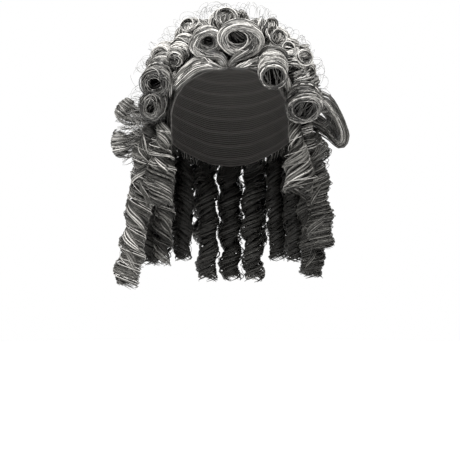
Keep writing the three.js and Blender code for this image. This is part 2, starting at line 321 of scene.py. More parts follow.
@dataclass
class Combing:
    """How the strands of a lock lie side by side, drawn together into wisps.

    place is each strand's share across the lock, crest how high it rides in its wisp and tone how
    bright it is: its own random tone, darkened by painted shade towards the sides of its wisp, all as
    columns. wisp is the number of its wisp.
    """

    place: np.ndarray
    crest: np.ndarray
    tone: np.ndarray
    wisp: np.ndarray

    @property
    def count(self) -> int:
        """How many strands there are."""
        return len(self.place)

    def sway(
        self, rng: np.random.Generator, steps: int, wisps: float, strands: float, waves: float,
    ) -> np.ndarray:
        """Slow random waves that the strands of a wisp share, with a little of each strand's own.

        Args:
            rng: the source of chance.
            steps: how many points along each strand.
            wisps: about how far a wisp strays.
            strands: about how far a strand strays from its wisp.
            waves: about how many waves lie along it.

        Returns:
            How far each point strays.
        """
        shared = drift(rng, int(self.wisp.max()) + 1, steps, wisps, waves)[self.wisp]
        return shared + drift(rng, self.count, steps, strands, waves * 1.6)


def comb(rng: np.random.Generator, count: int, wisp: float) -> Combing:
    """Spreads so many strands over a lock and draws about so many together into each wisp."""
    wisps = max(1, round(count / wisp))
    inner = (np.arange(1, wisps) + rng.uniform(-0.3, 0.3, wisps - 1)) / wisps
    cuts = np.sort(np.concatenate([[0, 1], inner]))
    place = (np.arange(count) + rng.uniform(0.2, 0.8, count)) / count
    mine = np.clip(np.searchsorted(cuts, place, side="right") - 1, 0, wisps - 1)
    middle = (cuts[mine] + cuts[mine + 1]) / 2
    half = (cuts[mine + 1] - cuts[mine]) / 2
    offset = (place - middle) / half
    drawn = middle + 0.84 * offset * half
    crest = np.sqrt(np.clip(1 - offset ** 2, 0, 1))
    tone = 0.6 + 0.16 * rng.normal(size=wisps)[mine] + 0.34 * rng.normal(size=count)
    # The tone is each strand's own random tone times painted shade, darker towards the sides of its wisp,
    # where the wisps part.
    return Combing(drawn[:, None], crest[:, None], (tone * (0.1 + 0.9 * crest))[:, None], mine)


class NodeSheet:
    """A node material while it is laid out."""

    def __init__(self, name: str) -> None:
        """Makes the material, with its Principled node."""
        self.made = bpy.data.materials.new(name)
        self.made.use_nodes = True
        self.tree = self.made.node_tree
        self.shader = self.tree.nodes["Principled BSDF"]

    def fill(self, node: bpy.types.Node, inputs: dict) -> None:
        """Fills a node's sockets, each with another socket, a number, a vector or a colour."""
        for name, value in inputs.items():
            if isinstance(value, Socket):
                self.tree.links.new(value, node.inputs[name])
            else:
                node.inputs[name].default_value = value

    def node(self, kind: str, output: int | str, inputs: dict, **settings: str) -> Socket:
        """Adds a node.

        Args:
            kind: its type.
            output: the name or number of the output that is wanted.
            inputs: what its sockets are filled with, by their names or numbers.
            settings: its own settings.

        Returns:
            The output.
        """
        made = self.tree.nodes.new(kind)
        for name, value in settings.items():
            setattr(made, name, value)
        self.fill(made, inputs)
        return made.outputs[output]

    def noise(self, place: Socket, scale: float, detail: float) -> Socket:
        """Adds noise from 0 to 1."""
        return self.node("ShaderNodeTexNoise", "Fac", {"Vector": place, "Scale": scale, "Detail": detail})

    def maths(self, operation: str, *values: object) -> Socket:
        """Adds a Math node on sockets and numbers."""
        return self.node("ShaderNodeMath", 0, dict(enumerate(values)), operation=operation)

    def wave(self, place: Socket, cycles: float) -> Socket:
        """Adds a wave from 0 to 1 with so many cycles to each unit."""
        sine = self.maths("SINE", self.maths("MULTIPLY", place, cycles * TAU))
        return self.maths("ADD", self.maths("MULTIPLY", sine, 0.5), 0.5)

    def mix(self, level: Socket, low: Colour, high: Colour) -> Socket:
        """Adds a colour between two others."""
        inputs = {"A": (*low, 1), "B": (*high, 1), "Factor": level}
        return self.node("ShaderNodeMix", "Result", inputs, data_type="RGBA")

    def between(self, level: Socket, low: float, high: float) -> Socket:
        """Adds a value between two others."""
        return self.node("ShaderNodeMapRange", "Result", {"Value": level, "To Min": low, "To Max": high})

    def bump(self, height: Socket, strength: float, depth: float) -> Socket:
        """Adds bump, so many metres deep."""
        inputs = {"Height": height, "Strength": strength, "Distance": depth}
        return self.node("ShaderNodeBump", "Normal", inputs)


@dataclass(frozen=True)
class Finish:
    """A finish, made when it is first asked for."""

    name: str

    def material(self) -> bpy.types.Material:
        """Returns its material."""
        found = bpy.data.materials.get(self.name)
        if found:
            return found
        sheet = NodeSheet(self.name)
        sheet.fill(sheet.shader, self.sockets(sheet))
        return sheet.made

    def sockets(self, sheet: NodeSheet) -> dict:
        """Lays out its nodes and returns what the Principled node's sockets are filled with."""
        raise NotImplementedError


@dataclass(frozen=True)
class HairFinish(Finish):
    """Salt-and-pepper fibre with a soft shine.

    Its tone comes from each strand's shade, which holds the strand's own random tone and the
    light and shade painted on it.
    """

    name: str = "silver_fibre"
    pepper: Colour = (0.009, 0.0085, 0.0075)
    iron: Colour = (0.038, 0.0365, 0.0335)
    ash: Colour = (0.19, 0.184, 0.171)
    powder: Colour = (0.70, 0.68, 0.645)
    iron_at: float = 0.3
    ash_at: float = 0.62
    streaks: float = 260.0
    streak_depth: float = 0.3
    grain: float = 2600.0
    roughness: float = 0.34
    shine: float = 0.42

    def sockets(self, sheet: NodeSheet) -> dict:
        """Lays out its nodes and returns what the Principled node's sockets are filled with."""
        place = sheet.node("ShaderNodeTexCoord", "Object", {})
        streak = sheet.noise(place, self.streaks, 4.0)
        tone = sheet.node("ShaderNodeAttribute", "Fac", {}, attribute_name=TONE)
        streaked = sheet.maths("MULTIPLY_ADD", streak, self.streak_depth, tone)
        level = sheet.maths("SUBTRACT", streaked, self.streak_depth / 2)
        colour = sheet.node("ShaderNodeValToRGB", "Color", {"Fac": level})
        ramp = colour.node.color_ramp.elements
        ramp[0].color = (*self.pepper, 1)
        ramp[1].color = (*self.powder, 1)
        ramp.new(self.iron_at).color = (*self.iron, 1)
        ramp.new(self.ash_at).color = (*self.ash, 1)
        return {
            "Base Color": colour,
            "Roughness": sheet.between(streak, self.roughness - 0.08, self.roughness + 0.14),
            "Normal": sheet.bump(sheet.noise(place, self.grain, 2.0), 0.25, 0.0002),
            "Specular IOR Level": self.shine,
        }


@dataclass(frozen=True)
class CoreFinish(Finish):
    """Painted shade: the deep shadow inside a lock, painted near-black on a core, with a felt-like grain."""

    name: str = "shadow_core"
    dark: Colour = (0.003, 0.003, 0.0028)
    pale: Colour = (0.030, 0.029, 0.027)
    streaks: tuple[float, float, float] = (6.0, 2400.0, 1.0)

    def sockets(self, sheet: NodeSheet) -> dict:
        """Lays out its nodes and returns what the Principled node's sockets are filled with."""
        chart = sheet.node("ShaderNodeUVMap", "UV", {}, uv_map=CHART)
        drawn = sheet.node("ShaderNodeMapping", "Vector", {"Vector": chart, "Scale": self.streaks})
        grain = sheet.noise(drawn, 1.0, 2.0)
        return {
            "Base Color": sheet.mix(grain, self.dark, self.pale),
            "Roughness": sheet.between(grain, 0.85, 1.0),
            "Normal": sheet.bump(grain, 0.4, 0.0004),
            "Specular IOR Level": 0.1,
        }


@dataclass(frozen=True)
class NetFinish(Finish):
    """Dark elastic net with sewn rows of weft, drawn along the cap's own map."""

    name: str = "cap_net_weave"
    thread: Colour = (0.075, 0.070, 0.065)
    gap: Colour = (0.016, 0.015, 0.014)
    cells: float = 420.0
    wefts: float = 30.0
    roughness: float = 0.82

    def sockets(self, sheet: NodeSheet) -> dict:
        """Lays out its nodes and returns what the Principled node's sockets are filled with."""
        chart = sheet.node("ShaderNodeUVMap", "UV", {}, uv_map=CHART)
        across = sheet.node("ShaderNodeSeparateXYZ", "X", {0: chart})
        along = across.node.outputs["Y"]
        weave = sheet.maths("MAXIMUM", sheet.wave(across, self.cells), sheet.wave(along, self.cells / 2))
        row = sheet.maths("POWER", sheet.wave(along, self.wefts), 6.0)
        height = sheet.maths("ADD", weave, row)
        return {
            "Base Color": sheet.mix(height, self.gap, self.thread),
            "Normal": sheet.bump(height, 0.6, 0.0008),
            "Roughness": self.roughness,
        }


@dataclass(frozen=True)
class FloorFinish(Finish):
    """A plain pale floor."""

    name: str = "pale_floor"
    colour: Colour = (0.93, 0.93, 0.93)
    roughness: float = 0.7
    glow: float = 0.32

    def sockets(self, sheet: NodeSheet) -> dict:
        """Returns what the Principled node's sockets are filled with."""
        return {
            "Base Color": (*self.colour, 1),
            "Roughness": self.roughness,
            "Emission Color": (1, 1, 1, 1),
            "Emission Strength": self.glow,
        }


# The shaded copy is darker and duller: painted shade for the ringlets and the sewn hair, which the head and
# the curls would shade.
HAIR = {
    Slot.SILVER: HairFinish(),
    Slot.SHADED: HairFinish(
        "shaded_fibre", iron=(0.03, 0.029, 0.0265), ash=(0.16, 0.155, 0.143), powder=(0.56, 0.542, 0.515),
        roughness=0.42, shine=0.16),
}


@dataclass
class Surface:
    """A part of a mesh, whose faces count its own corners from 0.

    quads and tris are its faces with four and three corners, and the charts give each of those
    corners its place on the map. tones has a tone for each corner, and layer says which of the
    mesh's materials it has.
    """

    points: np.ndarray
    quads: np.ndarray
    tris: np.ndarray
    quad_chart: np.ndarray
    tri_chart: np.ndarray
    tones: np.ndarray | None = None
    layer: int = 0


def tube_quads(firsts: np.ndarray, rings: int, sides: int) -> np.ndarray:
    """The four-cornered faces of tubes, by tube, ring and side.

    Args:
        firsts: the number of each tube's first corner.
        rings: how many rings of corners a tube has.
        sides: how many corners a ring has.

    Returns:
        The numbers of each face's corners.
    """
    j = np.arange(sides)
    k = (j + 1) % sides
    low = firsts[:, None, None] + sides * np.arange(rings - 1)[:, None]
    return np.stack([low + j, low + k, low + sides + k, low + sides + j], axis=-1)


def end_fans(rings: int, sides: int) -> np.ndarray:
    """The faces that close a tube round two corners, one for each end, that follow its rings."""
    spin = np.arange(sides)
    after = (spin + 1) % sides
    pole = np.full(sides, rings * sides)
    last = (rings - 1) * sides
    near = np.stack([pole, after, spin], axis=-1)
    return np.concatenate([near, np.stack([pole + 1, last + spin, last + after], axis=-1)])


def corner_chart(across: list[np.ndarray], up: list[np.ndarray]) -> np.ndarray:
    """Puts faces on the map, from the places of each of their corners across it and up it."""
    return np.stack([np.stack(np.broadcast_arrays(a, b), axis=-1) for a, b in zip(across, up)], axis=-2)


def mesh_object(name: str, surfaces: list[Surface], finishes: list[Finish]) -> bpy.types.Object:
    """Joins surfaces into one smooth mesh with a map.

    Args:
        name: its name.
        surfaces: its parts.
        finishes: what the layers of its parts are dressed in.

    Returns:
        The object, linked into the scene.
    """
    firsts = np.cumsum([0] + [len(part.points) for part in surfaces])
    points = np.concatenate([part.points for part in surfaces])
    quads = [part.quads.reshape(-1, 4) + first for part, first in zip(surfaces, firsts)]
    tris = [part.tris + first for part, first in zip(surfaces, firsts)]
    corners = np.concatenate([faces.ravel() for faces in quads + tris])
    charts = [part.quad_chart.reshape(-1, 2) for part in surfaces]
    charts += [part.tri_chart.reshape(-1, 2) for part in surfaces]
    layers = [np.full(len(faces), part.layer) for faces, part in zip(quads + tris, surfaces * 2)]
    sizes = np.concatenate([np.full(len(faces), faces.shape[1]) for faces in quads + tris])
    mesh = bpy.data.meshes.new(name)
    mesh.vertices.add(len(points))
    mesh.vertices.foreach_set("co", points.astype(np.float32).ravel())
    mesh.loops.add(len(corners))
    mesh.loops.foreach_set("vertex_index", corners.astype(np.int32))
    mesh.polygons.add(len(sizes))
    mesh.polygons.foreach_set("loop_start", (np.cumsum(sizes) - sizes).astype(np.int32))
    mesh.polygons.foreach_set("use_smooth", np.ones(len(sizes), bool))
    mesh.update(calc_edges=True)
    chart = mesh.uv_layers.new(name=CHART, do_init=False)
    chart.uv.foreach_set("vector", np.concatenate(charts).astype(np.float32).ravel())
    for finish in finishes:
        mesh.materials.append(finish.material())
    mesh.polygons.foreach_set("material_index", np.concatenate(layers).astype(np.int32))
    made = bpy.data.objects.new(name, mesh)
    bpy.context.scene.collection.objects.link(made)
    return made


def settle(piece: bpy.types.Object, replaced: list[str]) -> None:
    """Makes a piece move with the wig and hides the solids that it stands for."""
    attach(piece, BODY)
    if replaced:
        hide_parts(*replaced)
    log.info("%s: %d faces", piece.name, len(piece.data.polygons))


@dataclass
class HairPiece:
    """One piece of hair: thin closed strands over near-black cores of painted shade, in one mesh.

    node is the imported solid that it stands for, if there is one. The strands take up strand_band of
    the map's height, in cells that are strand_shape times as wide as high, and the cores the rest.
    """

    name: str
    slot: Slot = Slot.SILVER
    node: str = ""
    sides: int = 3
    strand_band: float = 0.9
    strand_shape: float = 24.0
    locks: list[tuple[np.ndarray, np.ndarray]] = field(default_factory=list)
    cores: list[np.ndarray] = field(default_factory=list)

    @classmethod
    def over(cls, node: str, slot: Slot = Slot.SILVER) -> "HairPiece":
        """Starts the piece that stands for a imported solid."""
        return cls(node + "_hair", slot, node)

    def strands(self, paths: np.ndarray, width: float, tones: np.ndarray, seed: int) -> None:
        """Adds strands that follow paths and thin out at both ends.

        Args:
            paths: points, by strand and by place along it.
            width: how thick a strand is, in metres.
            tones: the tone of each strand, or of each point of it.
            seed: what their random turn about themselves starts from.
        """
        rows, steps = paths.shape[:2]
        ways = unit(np.gradient(paths, axis=1))
        rng = np.random.default_rng(seed)
        current = unit(rng.normal(size=(rows, 3)))
        normals = np.empty_like(paths)
        for i in range(steps):
            way = ways[:, i]
            current = unit(current - way * np.sum(current * way, axis=1, keepdims=True))
            normals[:, i] = current
        others = np.cross(ways, normals)
        to_end = np.minimum(np.arange(steps), np.arange(steps)[::-1])
        thin = np.clip(0.3 + 0.35 * to_end, 0, 1)
        radius = width / 1.65 * each(rng, 0.75, 1.2, rows) * thin
        angle = TAU * np.arange(self.sides) / self.sides
        ring = normals[:, :, None] * np.cos(angle)[:, None] + others[:, :, None] * np.sin(angle)[:, None]
        corners = paths[:, :, None] + ring * radius[:, :, None, None]
        self.locks.append((corners, np.broadcast_to(tones.reshape(rows, -1), (rows, steps))))

    def core(self, rings: np.ndarray) -> None:
        """Adds a closed core, dressed near-black as painted shade, from rings of points, which it keeps off
        the cap.
        """
        self.cores.append(HEAD.clear(rings, HEAD.wall + SIZES.core_gap))

    def strand_surface(self, lock: tuple[np.ndarray, np.ndarray], cell: int, cells: int) -> Surface:
        """Makes the surface of a lock's strands.

        Args:
            lock: the strands' corners, by strand, ring and side, and the tones of their rings.
            cell: the number of its first cell on the map.
            cells: how many cells the map has.

        Returns:
            The surface.
        """
        corners, tones = lock
        rows, steps, sides = corners.shape[:3]
        firsts = np.arange(rows) * steps * sides
        lasts = firsts + (steps - 1) * sides
        ends = [np.stack([firsts, firsts + 2, firsts + 1], -1), np.stack([lasts, lasts + 1, lasts + 2], -1)]
        columns = max(1, round(math.sqrt(cells / self.strand_shape)))
        lines = math.ceil(cells / columns)
        number = cell + np.arange(rows)
        left = (number % columns)[:, None, None]
        low = (number // columns)[:, None, None]
        i = np.arange(steps - 1)[:, None]
        j = np.arange(sides)
        across = [(left + 0.04 + 0.92 * (i + step) / (steps - 1)) / columns for step in (0, 0, 1, 1)]
        up = [(low + 0.1 + 0.8 * (j + step) / sides) * self.strand_band / lines for step in (0, 1, 1, 0)]
        edge = np.array([[0.0, 0.1], [0.03, 0.5], [0.0, 0.9]])
        places = [np.stack([number % columns + end, number // columns], axis=-1) for end in (0, 0.97)]
        caps = [place[:, None] + edge for place in places]
        scale = np.array([1 / columns, self.strand_band / lines])
        return Surface(
            corners.reshape(-1, 3), tube_quads(firsts, steps, sides), np.concatenate(ends),
            corner_chart(across, up), np.concatenate(caps) * scale, np.repeat(tones.reshape(-1), sides))

    def core_surface(self, rings: np.ndarray, number: int) -> Surface:
        """Makes the surface of a core from its rings and its place among the cores."""
        count, sides = rings.shape[:2]
        tall = (1 - self.strand_band - 0.02) / len(self.cores)
        floor = self.strand_band + 0.01 + number * tall
        i = np.arange(count - 1)[:, None]
        j = np.arange(sides)
        across = [0.02 + 0.96 * (j + step) / sides for step in (0, 1, 1, 0)]
        up = [floor + tall * (0.1 + 0.8 * (i + step) / (count - 1)) for step in (0, 0, 1, 1)]
        spread = [0.02 + 0.96 * (j + step) / sides for step in (0.5, 1, 0)]
        heights = ((0, 0.08, 0.08), (1, 0.92, 0.92))
        fans = [corner_chart(spread, [floor + tall * at for at in ats]) for ats in heights]
        points = np.concatenate([rings.reshape(-1, 3), rings[[0, -1]].mean(axis=1)])
        return Surface(
            points, tube_quads(np.zeros(1, int), count, sides), end_fans(count, sides),
            corner_chart(across, up), np.concatenate(fans), np.zeros(len(points)), 1)

    def make(self) -> None:
        """Joins all that was added into one object and dresses it."""
        surfaces = []
        cells = sum(len(corners) for corners, _ in self.locks)
        cell = 0
        for lock in self.locks:
            surfaces.append(self.strand_surface(lock, cell, cells))
            cell += len(lock[0])
        surfaces += [self.core_surface(rings, number) for number, rings in enumerate(self.cores)]
        finishes = [HAIR[self.slot]] + ([CoreFinish()] if self.cores else [])
        made = mesh_object(self.name, surfaces, finishes)
        tones = np.clip(np.concatenate([part.tones for part in surfaces]), 0, 1)
        made.data.attributes.new(TONE, "FLOAT", "POINT").data.foreach_set("value", tones.astype(np.float32))
        settle(made, [self.node] if self.node else [])


@dataclass(frozen=True)
class Roll:
    """A barrel roll, by the shares that place it and how it is wound.

    around and down seat it. length is a share of the roll length, and radius and rise are shares of
    the roll radius. turn is the way that the roll lies, from straight down the head, and tilt lifts
    its far end off the head. bore is the share of its radius that its mouth leaves open. A bow lies
    across the head and is bent to it, and light is the painted light on it: a factor on its strands'
    tone that paints it brighter where light falls on it and darker where it lies in shade. oval
    flattens it towards the head, shift moves the mouth off the middle, by a share of its wall and at
    an angle from straight off the head, crossing counts the strands that lie across the mouth, and
    taper narrows that end.
    bend turns the far end off the head, in degrees.
    """

    name: str
    around: float
    down: float
    turn: float
    tilt: float
    length: float
    radius: float
    rise: float
    bore: float
    wind: Wind = Wind.COUNTER
    bow: bool = False
    light: float = 1.0
    oval: float = 0.05
    shift: float = 0.2
    shift_angle: float = 30
    crossing: int = 5
    taper: float = 0.0
    bend: float = 0.0
    steps: int = 14

    def spine(self) -> Spine:
        """The line that the roll is wound round."""
        seat = HEAD.seat(self.around, self.down)
        size = self.radius * SIZES.roll_radius
        reach = self.length * SIZES.roll_length
        if self.bow:
            return self.bowed(seat, size, reach)
        lift = (1 - SIZES.seat_sink) * size + self.rise * SIZES.roll_radius
        root = seat.point + seat.outward * lift
        tilt = np.radians(self.tilt + self.bend * np.linspace(0, 1, self.steps))[:, None]
        turn = math.radians(self.turn)
        flat = math.cos(turn) * seat.downward + math.sin(turn) * seat.sideways
        ways = np.cos(tilt) * flat + np.sin(tilt) * seat.outward
        steps = np.concatenate([np.zeros((1, 3)), ways[:-1] * reach / (self.steps - 1)])
        return Spine(root + np.cumsum(steps, axis=0), seat.outward)

    @staticmethod
    def bowed(seat: Seat, size: float, reach: float) -> Spine:
        """The line of a bow with this seat, radius and length."""
        handles = []
        for share in (-0.5, 0, 0.5):
            rough = seat.point + seat.sideways * share * reach
            level = np.hypot(*rough[:2]) / np.hypot(*seat.point[:2])
            rough = rough / np.array([level, level, 1])
            handles.append(rough + seat.outward * (1 - SIZES.seat_sink) * size)
        return Spine(bezier(handles, 12), seat.outward)


@dataclass(frozen=True)
class RollForm:
    """The skin of a roll: a barrel whose ends are rounded over into its hollow.

    hollow is how far the skin is followed into each end, as a share of the length. inner_rise is how
    far strands rise inside the hollow, as a share of their rise outside.
    """

    plan: Roll
    spine: Spine
    hollow: float = 0.5
    inner_rise: float = -0.4
    shortest: float = 0.002

    @property
    def radius(self) -> float:
        """The radius of the outside."""
        return self.plan.radius * SIZES.roll_radius

    @property
    def mouth(self) -> float:
        """The radius of the open mouth."""
        return self.plan.bore * self.radius

    @property
    def lip(self) -> float:
        """Half the thickness of the rolled wall."""
        return self.radius * (1 - self.plan.bore) / 2

    @property
    def barrel(self) -> float:
        """The length of the straight part of the outside."""
        return max(self.shortest, self.spine.length - 2 * self.lip)

    @property
    def reach(self) -> float:
        """The length of the skin from the hollow at one end, over the outside, to the other."""
        return self.barrel + 2 * (math.pi * self.lip + self.hollow * self.spine.length)

    def inward(self, radius: np.ndarray) -> np.ndarray:
        """How far into the mouth a radius lies, from 0 on the outside to 1."""
        return np.clip((self.radius - radius) / (2 * self.lip), 0, 1)

    def lifted(self, radius: np.ndarray, rise: np.ndarray) -> np.ndarray:
        """The radius of strands that rise off the skin."""
        return radius + rise * np.where(radius > self.radius - self.lip, 1.0, self.inner_rise)

    def place(self, along: np.ndarray, radius: np.ndarray, angle: np.ndarray) -> np.ndarray:
        """Finds points round the roll, flattened, and moved with its mouth.

        Args:
            along: metres along its line.
            radius: metres off the line, before the roll is flattened.
            angle: radians round the line.

        Returns:
            The points.
        """
        plan = self.plan
        moved = plan.shift * 2 * self.lip * ease(self.inward(radius))
        turn = math.radians(plan.shift_angle)
        narrowed = radius * (1 - plan.taper * np.clip(along / self.spine.length, 0, 1))
        across = (1 - plan.oval) * narrowed * np.cos(angle) + moved * math.cos(turn)
        beside = (1 + plan.oval) * narrowed * np.sin(angle) + moved * math.sin(turn)
        centre = self.spine.place(along, np.zeros_like(radius), angle)
        return centre + self.spine.offset(along, across, beside)

    def profile(self, travel: np.ndarray) -> tuple[np.ndarray, np.ndarray]:
        """Follows the skin from one hollow over the outside and into the other.

        Args:
            travel: metres along the skin, held to its ends.

        Returns:
            How far along the spine each place is, and its radius.
        """
        offset = np.clip(travel, 0, self.reach) - self.reach / 2
        past = np.abs(offset) - self.barrel / 2
        turn = np.clip(past / self.lip, 0, math.pi)
        inner = np.clip(past - math.pi * self.lip, 0, None)
        flat = np.minimum(np.abs(offset), self.barrel / 2)
        along = self.spine.length / 2 + np.sign(offset) * (flat + self.lip * np.sin(turn) - inner)
        return along, self.radius - self.lip + self.lip * np.cos(turn)


@dataclass
class RollBuilder:
    """Winds the strands of one roll.

    Strands go round turns times, wisp of them lie together, and coarse makes them fewer and
    thicker. Lengths are in metres: askew is how far they lie aslant, wander and ripple how far
    wisps and strands stray along the skin and off it, crest how high the middle of a wisp rides,
    sunk how deep its sides lie, and tuck how deep a strand's two ends sink. Some of the strands,
    loose_share, rise by loose_rise. The loose strands over the roll are frizz_share as many, and
    they lie frizz_askew aslant, stray by frizz_wander and rise within frizz_rise.
    """

    plan: Roll
    seed: int
    steps_per_turn: int = 14
    wisp: float = 7.0
    coarse: float = 1.0
    turns: float = 1.3
    askew: float = 0.0016
    wander: tuple[float, float] = (0.0024, 0.0006)
    ripple: tuple[float, float] = (0.0006, 0.0002)
    crest: float = 0.0022
    sunk: float = 0.0014
    tuck: tuple[float, float] = (0.0012, 0.0018)
    loose_share: float = 0.06
    loose_rise: float = 0.002
    frizz_share: float = 0.22
    frizz_askew: float = 0.008
    frizz_wander: float = 0.0012
    frizz_rise: tuple[float, float] = (0.0008, 0.0026)
    core_inset: float = 0.0024
    core_sides: int = 18
    core_rings: int = 22

    def __post_init__(self) -> None:
        """Finds the skin to wind on, the hand of the turns and the source of chance."""
        self.form = RollForm(self.plan, self.plan.spine())
        self.hand = self.plan.wind.value
        self.rng = np.random.default_rng(self.seed)

    def build(self, piece: HairPiece) -> None:
        """Adds the roll's strands and core to a piece."""
        self.wind(piece)
        self.frizz(piece)
        self.cross(piece)
        self.fill(piece)

    def wind(self, piece: HairPiece) -> None:
        """Adds the strands that are wound over the outside and into the mouths."""
        form, rng = self.form, self.rng
        combed = comb(rng, int(form.reach / (SIZES.spacing * self.coarse)), self.wisp)
        count = combed.count
        steps = int(self.turns * self.steps_per_turn)
        share = shares(steps)
        turns = self.turns * each(rng, 0.75, 1.15, count)
        angle = each(rng, 0, TAU, count) + self.hand * TAU * turns * share
        offset = (combed.place - 0.5) * form.reach
        mouth = ease((np.abs(offset) - form.barrel / 2 + form.lip) / (2 * form.lip))
        spiral = np.sign(offset) * mouth * form.lip * 1.5 * (share - 0.5)
        askew = rng.normal(0, self.askew, (count, 1)) * (share - 0.5)
        wander = combed.sway(rng, steps, *self.wander, 1.4)
        along, radius = form.profile(combed.place * form.reach + spiral + askew + wander)
        loose = (each(rng, 0, 1, count) < self.loose_share) * each(rng, 0.5, 1.6, count)
        rise = self.crest * combed.crest - self.sunk + combed.sway(rng, steps, *self.ripple, 2)
        rise = rise + self.loose_rise * loose * arch(share)
        rise = rise - self.tuck[0] * ease((0.12 - share) / 0.12) - self.tuck[1] * ease((share - 0.8) / 0.2)
        paths = form.place(along, form.lifted(radius, rise), angle)
        # Painted shade: strands are painted darker the deeper they lie into the mouth.
        tone = combed.tone * self.plan.light * (1 - 0.6 * form.inward(radius) ** 2)
        piece.strands(off_cap(paths), SIZES.strand * self.coarse, tone, self.seed + 1)

    def frizz(self, piece: HairPiece) -> None:
        """Adds loose strands that lie aslant over the roll."""
        form, rng = self.form, self.rng
        count = int(self.frizz_share * form.reach / SIZES.spacing)
        share = shares(12)
        arc = each(rng, 0.3, 0.9, count)
        angle = each(rng, 0, TAU, count) + self.hand * TAU * arc * share
        middle = each(rng, 0.1, 0.9, count) * form.reach
        askew = rng.normal(0, self.frizz_askew, (count, 1)) * (share - 0.5)
        along, radius = form.profile(middle + askew + drift(rng, count, share.size, self.frizz_wander, 1.2))
        low, high = self.frizz_rise
        rise = low + each(rng, 0, high, count) * arch(share)
        paths = form.place(along, form.lifted(radius, rise), angle)
        tone = rng.uniform(0.3, 1.0, count) * self.plan.light
        piece.strands(off_cap(paths), SIZES.loose, tone, self.seed + 3)

    def cross(self, piece: HairPiece) -> None:
        """Adds the few strands that lie across the mouth at each end."""
        form, rng = self.form, self.rng
        share = np.linspace(-1, 1, 9)
        across = share * form.mouth
        paths = []
        for i in range(2 * self.plan.crossing):
            lean = rng.normal(0, 0.22) + 0.9
            off = rng.uniform(-0.6, 0.6) * form.mouth
            bend = off + rng.uniform(-0.25, 0.25) * form.mouth * (1 - share ** 2)
            depth = form.lip * rng.uniform(0.9, 2.0) + 0.001 * share
            along = form.spine.length - depth if i % 2 else depth
            paths.append(form.place(along, np.hypot(across, bend), np.arctan2(bend, across) + lean))
        if paths:
            tone = rng.uniform(0.16, 0.5, len(paths))
            piece.strands(off_cap(np.array(paths)), SIZES.loose, tone, self.seed + 2)

    def fill(self, piece: HairPiece) -> None:
        """Adds the dark core of painted shade under the strands, which also closes the hollow."""
        form = self.form
        inset = min(self.core_inset, 0.6 * form.lip)
        along, radius = form.profile(np.linspace(0, form.reach, self.core_rings))
        radius = blend(form.radius - form.lip, radius, 1 - inset / form.lip)
        along = blend(form.spine.length / 2, along, 1 - 2 * inset / form.spine.length)
        angle = TAU * np.arange(self.core_sides) / self.core_sides
        piece.core(form.place(*np.broadcast_arrays(along[:, None], radius[:, None], angle)))


@dataclass(frozen=True)
class Ringlet:
    """A hanging ringlet. lean, side and drop are shares of the drop, thick and tip of the radius.

    around and down seat it. lean carries it outward, side carries it along the head, hug keeps it on
    the head, and flick swings its tip out. thick and tip size its root and its tip. pitches are
    shares of the ringlet pitch and swells shares of its radius, evenly spaced from its root to its
    tip. ribbon is the width of the wound ribbon as a share of the pitch. light is the painted light on
    it in front, painted darker where the head would shade it, rear_light the painted light at the
    back, where no head shades it, and root_light the painted shade at its root, as a share of that.
    coarse makes its strands fewer and thicker, and locks is how many narrow locks lie over its turns
    in front.
    """

    name: str
    around: float
    down: float
    lean: float
    side: float
    drop: float
    hug: float
    flick: float
    thick: float
    tip: float
    pitches: tuple[float, ...] = (0.8, 1.1, 0.9, 1.1, 0.7)
    ribbon: float = 0.95
    light: float = 1.0
    root_light: float = 0.7
    rear_light: float = 0.9
    swells: tuple[float, ...] = (1.0, 1.0)
    coarse: float = 1.0
    locks: int = 0

    @property
    def away(self) -> np.ndarray:
        """The level way off the head at its seat."""
        turn = math.radians(self.around)
        return np.array([math.sin(turn), -math.cos(turn), 0])

    def spine(self) -> Spine:
        """The line that the ringlet is wound round."""
        seat = HEAD.seat(self.around, self.down)
        reach = SIZES.ringlet_drop
        away = self.away
        beside = np.array([-away[1], away[0], 0])
        root = seat.point + seat.outward * (1 - SIZES.root_sink) * self.thick * SIZES.ringlet_radius
        end = root + away * (self.lean + self.flick) * reach + beside * self.side * reach
        end = end - UP * self.drop * reach
        near = root + seat.downward * self.hug * self.drop * reach
        near = near + away * SIZES.lean_handle * self.lean * reach
        far = end - away * self.flick * reach + UP * SIZES.hang_handle * self.drop * reach
        return Spine(bezier([root, near, far, end], 60), seat.outward)


